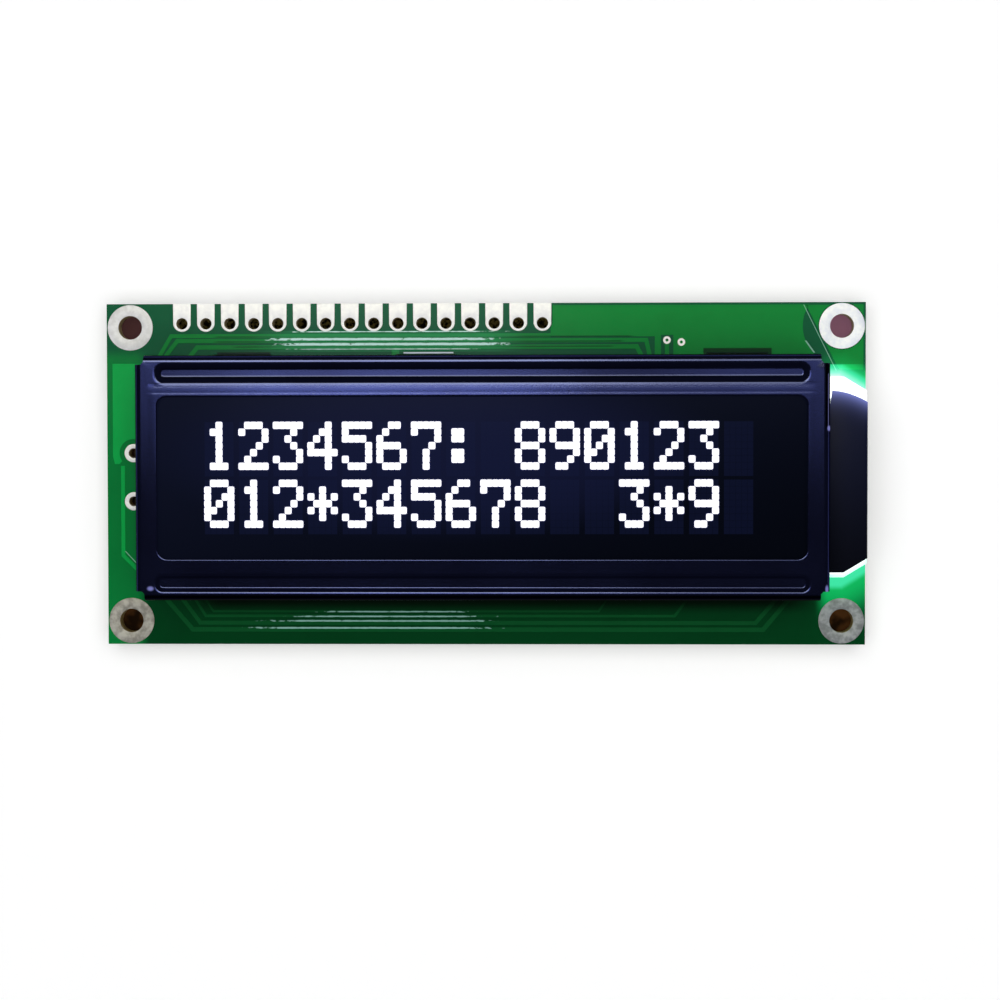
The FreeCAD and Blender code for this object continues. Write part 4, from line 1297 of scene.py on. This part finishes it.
@dataclass
class Display:
    """Liquid-crystal cell with its lit dots."""

    words: tuple = ("1234567: 890123 ", "012*345678  3*9 ")
    first: tuple = (-28.6, 5.45)
    pitch: tuple = (3.55, 5.95)
    dot: tuple = (0.6, 0.7)
    corner: float = 0.15
    face: float = 8.0

    def build(self) -> None:
        """Builds the dots and dresses the cell."""
        film = PolariserFilm("polariser_film", self.first, self.pitch, self.dot)
        recoat(film, "front_polariser", "rear_polariser")
        recoat(DARK_GLASS, "front_glass", "rear_glass")
        recoat(SEAL, "cell_seal")
        recoat(Stripes("elastomer"), "elastomer_strip_upper", "elastomer_strip_lower")
        # The halo is a painted glow round the lit dots.
        self.dots("dot_halo", Glow("halo", "2e3480", 0.8), (0.1, 0.07), 0.004)
        self.dots("lit_dots", Glow("lit_dot", "ffffff", 1.3), (0.05, 0.02), 0.012)

    def dots(self, name: str, finish: Finish, grow: tuple, rise: float) -> None:
        """Builds one rounded slab for every lit dot.

        Args:
            name: Piece name.
            finish: Its finish.
            grow: How far a slab reaches past its dot along and across the line.
            rise: Height over the film.
        """
        form = Form()
        for line, text in enumerate(self.words):
            for place, sign in enumerate(text):
                for row, bits in enumerate(Glyph.rows(sign)):
                    for column in range(5):
                        if bits >> (4 - column) & 1:
                            x = self.first[0] + place * self.pitch[0] + (column + 0.5) * self.dot[0]
                            y = self.first[1] - line * self.pitch[1] - (row + 0.5) * self.dot[1]
                            self.one_dot(form, x, y, grow, rise)
        form.finish(name, finish, "polariser_film", crease=60)

    def one_dot(self, form: Form, x: float, y: float, grow: tuple, rise: float) -> None:
        """Adds a rounded slab at one dot's place.

        Args:
            form: Form to add it to.
            x: Place along the line.
            y: Place across it.
            grow: Reach past the dot.
            rise: Height over the film.
        """
        size = Matrix.Diagonal((self.dot[0] / 2 + grow[0], self.dot[1] / 2 + grow[1], 1, 1))
        place = Matrix.Translation((x, y, self.face))
        grid = {"x_segments": 1, "y_segments": 1, "size": 1, "matrix": place @ size}
        corners = bmesh.ops.create_grid(form.mesh, **grid)["verts"]
        corners = rounded_off(form.mesh, corners, "VERTICES", self.corner, 2, True)
        form.raised([corners[0].link_faces[0]], rise)


@dataclass
class LightHouse:
    """Light holder, what it carries, and the tape over its lamp house."""

    cad_corner: tuple = (36.2, 8.6)
    cad_stuck: float = 4.6
    near: float = 0.02
    tape_corner: float = 35.98
    tape_stuck: float = 7.0

    def build(self) -> None:
        """Dresses the light parts."""
        recoat(LitPlastic("lit_plastic"), "light_holder")
        recoat(WHITE_FILM, "reflector_sheet", "diffuser_sheet", "lamp_strip")
        recoat(Clear("clear_acrylic", "f4fbff", 1.49), "light_guide")
        recoat(LAMP_BODY, *(f"lamp_led_{i}" for i in (1, 2, 3)))
        recoat(TIN, "lamp_lead_1", "lamp_lead_2")
        self.tape()

    def tape(self) -> None:
        """Builds the tape from a copy of its CAD node, with its upper end closer to the bezel."""
        form = Form()
        form.copied("lamp_tape")
        for corner in form.mesh.verts:
            off_x, off_y = (abs(a - b) for a, b in zip(corner.co.xy, self.cad_corner))
            if off_x < self.near and off_y < self.near:
                corner.co.x = self.tape_corner
            elif abs(corner.co.y - self.cad_stuck) < self.near:
                corner.co.y = self.tape_stuck
        form.rounded(0.03, 50)
        form.finish("opaque_tape", DarkTape("dark_tape"), "dark_tape", ("lamp_tape",), crease=60)


@dataclass
class RearParts:
    """Controllers under resin and chip parts, behind the board."""

    blobs: tuple = (("controller", -16.5, 1.6, 7.4), ("driver", 14.5, -2.4, 6.6))
    height: float = 1.3
    steps: int = 10
    count: int = 16
    header: tuple = (-32.0, 2.54, 15.05)
    columns: tuple = (-15.75, 0.8)
    levels: tuple = (12.9, 0.22)
    track: tuple = (0.12, 0.035)

    def build(self) -> None:
        """Builds the resin domes and the tracks, and dresses the chip parts."""
        for name, x, y, r in self.blobs:
            self.dome(name, x, y, r)
        self.tracks()
        recoat(SILICON, "controller_die", "driver_die")
        recoat(BLACK_CERAMIC, *(f"resistor_{i + 1}" for i in range(5)))
        recoat(CERAMIC, "capacitor_1")

    def tracks(self) -> None:
        """Builds the lacquered tracks from the header holes to the controller."""
        form = Form()
        _, mid_x, mid_y, r = self.blobs[0]
        half, thick = self.track[0] / 2, self.track[1]
        last = self.count - 1
        for i in range(self.count):
            hole = self.header[0] + self.header[1] * i
            column = self.columns[0] + self.columns[1] * (i - last / 2)
            level = self.levels[0] + self.levels[1] * (i if hole < column else last - i)
            end = mid_y + math.sqrt((r + 0.02) ** 2 - (column - mid_x) ** 2)
            left, right = sorted((hole, column))
            form.slab((hole - half, level + half, -thick), (hole + half, self.header[2], 0))
            form.slab((left - half, level - half, -thick), (right + half, level + half, 0))
            form.slab((column - half, end, -thick), (column + half, level - half, 0))
        form.finish("rear_tracks", COPPER_LACQUER, "masked_copper")

    def dome(self, name: str, x: float, y: float, r: float) -> None:
        """Builds one resin dome that replaces its CAD node.

        Args:
            name: Name of the chip.
            x: Middle.
            y: Middle.
            r: Radius.
        """
        form = Form()
        turns = [math.pi / 2 * i / self.steps for i in range(self.steps + 1)]
        line = [(r * math.sin(a) ** 0.8, -self.height * math.cos(a) ** 0.75) for a in turns]
        form.turned(line + [(0.0, 0.0)], (x, y), 48, closed=False)
        form.finish(f"{name}_dome", RESIN, "potting_resin", (f"{name}_blob",))


class Reach(Enum):
    """What a lamp acts on."""

    DIFFUSE = "light on surfaces"
    GLOSS = "card seen in the gloss"


@dataclass
class Studio:
    """Floor, lamps, world and camera."""

    floor: float = -1.31
    board: tuple = (40, 18)
    header: tuple = (-13, 21.5)
    cards: tuple = (
        ("overhead_card", (-58, 66, 600), (125, 100), 2.45, (0.92, 0.98, 1.12)),
        ("wide_card", (-20, 66, 601), (360, 100), 1.05, (0.92, 0.98, 1.12)),
        ("bright_card", (-75, 220, 602), (230, 220), 5.0, (1.1, 1.05, 0.6)),
        ("bright_wide_card", (-20, 220, 603), (420, 220), 4.5, (1.1, 1.05, 0.6)),
    )
    ceiling: tuple = ((0, 100, 800), (1400, 1400), 1.7)
    eye: tuple = (7.247, 2.894, 221.434)
    tilt: tuple = (-1.471, 1.468, -0.079)
    lens: float = 75.042

    def build(self) -> None:
        """Builds the studio."""
        self.world()
        self.ground()
        for card in self.cards:
            self.lamp(*card, Reach.GLOSS)
        self.lamp("ceiling", *self.ceiling, WHITE[:3], Reach.DIFFUSE)
        self.camera()

    def world(self) -> None:
        """Bright ring with a dark cap overhead, and white for the camera."""
        world = bpy.data.worlds.new("studio")
        bpy.context.scene.world = world
        graph = Graph(world)
        way = graph.node("ShaderNodeTexCoord", {}, {}).outputs["Generated"]
        height = Value(graph, graph.node("ShaderNodeSeparateXYZ", {}, {0: way}).outputs[2])
        cap = height.ramp(0.0, 0.16)
        light = graph.mix(cap, (0.2, 0.2, 0.22, 1), (0.012, 0.012, 0.015, 1))
        seen = self.rays(graph, "Camera")
        graph.close(graph.node("ShaderNodeBackground", {}, {0: graph.mix(seen, light, WHITE), 1: 1.0}))

    @staticmethod
    def rays(graph: Graph, *kinds: str) -> Value:
        """Mask of the rays of some kinds."""
        path = graph.node("ShaderNodeLightPath", {}, {})
        return reduce(Value.most, [Value(graph, path.outputs[f"Is {kind} Ray"]) for kind in kinds])

    def under_board(self, graph: Graph) -> tuple[Value, Socket]:
        """Brown ground that shows through the holes, darker than the floor as painted shade under the board,
        and mottled dark olive under the header holes.

        Args:
            graph: The floor's graph.

        Returns:
            Mask of the ground under the board, and its colour.
        """
        x, y, _ = graph.place()
        half_x, half_y = self.board
        under = abs(x).ramp(half_x, half_x - 0.6) * abs(y).ramp(half_y, half_y - 0.6)
        warm = graph.mix(x.ramp(20, 30), tone("6c4848"), tone("b8829a"))
        brown_mottle = graph.mix(graph.noise(0.5, 2).ramp(0.4, 0.65), tone("2a1c10"), tone("6a4424"))
        brown = graph.mix(y.ramp(0, 10), brown_mottle, warm)
        # Mottled dark olive under the header holes.
        header_hole_mottle = graph.mix(graph.noise(2.2, 2).ramp(0.4, 0.62), tone("181004"), tone("7a6a38"))
        middle, half = self.header
        return under, graph.mix(abs(x - middle).ramp(half, half - 1), brown, header_hole_mottle)

    def ground(self) -> None:
        """Pale floor that keeps the object's shadow."""
        mesh = bmesh.new()
        bmesh.ops.create_grid(mesh, x_segments=1, y_segments=1, size=1.5)
        bmesh.ops.translate(mesh, vec=(0, 0, self.floor * MM), verts=mesh.verts)
        data = bpy.data.meshes.new("floor")
        mesh.to_mesh(data)
        mesh.free()
        floor = bpy.data.objects.new("floor", data)
        bpy.context.scene.collection.objects.link(floor)
        material = bpy.data.materials.new("floor")
        graph = Graph(material)
        under, brown = self.under_board(graph)
        seen = self.rays(graph, "Camera", "Glossy", "Transmission")
        graph.close(
            graph.surface(
                base_color=graph.mix(under, (0.85, 0.85, 0.85, 1), brown),
                roughness=0.9,
                specular_ior_level=0.0,
                emission_color=graph.tinted(seen * (1 - under), (0.3, 0.3, 0.3, 1)),
                emission_strength=1.0,
            )
        )
        data.materials.append(material)

    def lamp(
        self, name: str, place: tuple, size: tuple, level: float, colour: tuple, reach: Reach
    ) -> None:
        """Adds a soft level lamp over the module.

        Args:
            name: Lamp name.
            place: Centre in millimetres.
            size: Width and height in millimetres.
            level: Brightness of its face, where 1 is the white of the background.
            colour: Linear red, green and blue.
            reach: Whether it lights surfaces or shows in their gloss.
        """
        data = bpy.data.lights.new(name, "AREA")
        data.shape = "RECTANGLE"
        data.size, data.size_y = size[0] * MM, size[1] * MM
        data.energy = level * math.pi * data.size * data.size_y
        data.color = colour
        lamp = bpy.data.objects.new(name, data)
        lamp.location = Vector(place) * MM
        lamp.visible_camera = False
        lamp.visible_diffuse = reach is Reach.DIFFUSE
        lamp.visible_glossy = reach is Reach.GLOSS
        bpy.context.scene.collection.objects.link(lamp)

    def camera(self) -> None:
        """Camera nearly straight over the display."""
        data = bpy.data.cameras.new("camera")
        data.lens = self.lens
        data.clip_start = 0.01
        eye = bpy.data.objects.new("camera", data)
        eye.location = Vector(self.eye) * MM
        eye.rotation_euler = [math.radians(angle) for angle in self.tilt]
        bpy.context.scene.collection.objects.link(eye)
        bpy.context.scene.camera = eye


def main() -> None:
    """Builds the module and its studio."""
    logging.basicConfig(level=logging.INFO, format="%(message)s")
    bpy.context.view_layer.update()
    for part in (Board(), Pads(), SheetBezel(), Display(), LightHouse(), RearParts(), Studio()):
        part.build()
        LOG.info("built %s", type(part).__name__)
    scene = bpy.context.scene
    scene.view_settings.view_transform = "Standard"
    bpy.context.view_layer.update()


if __name__ == "__main__":
    main()
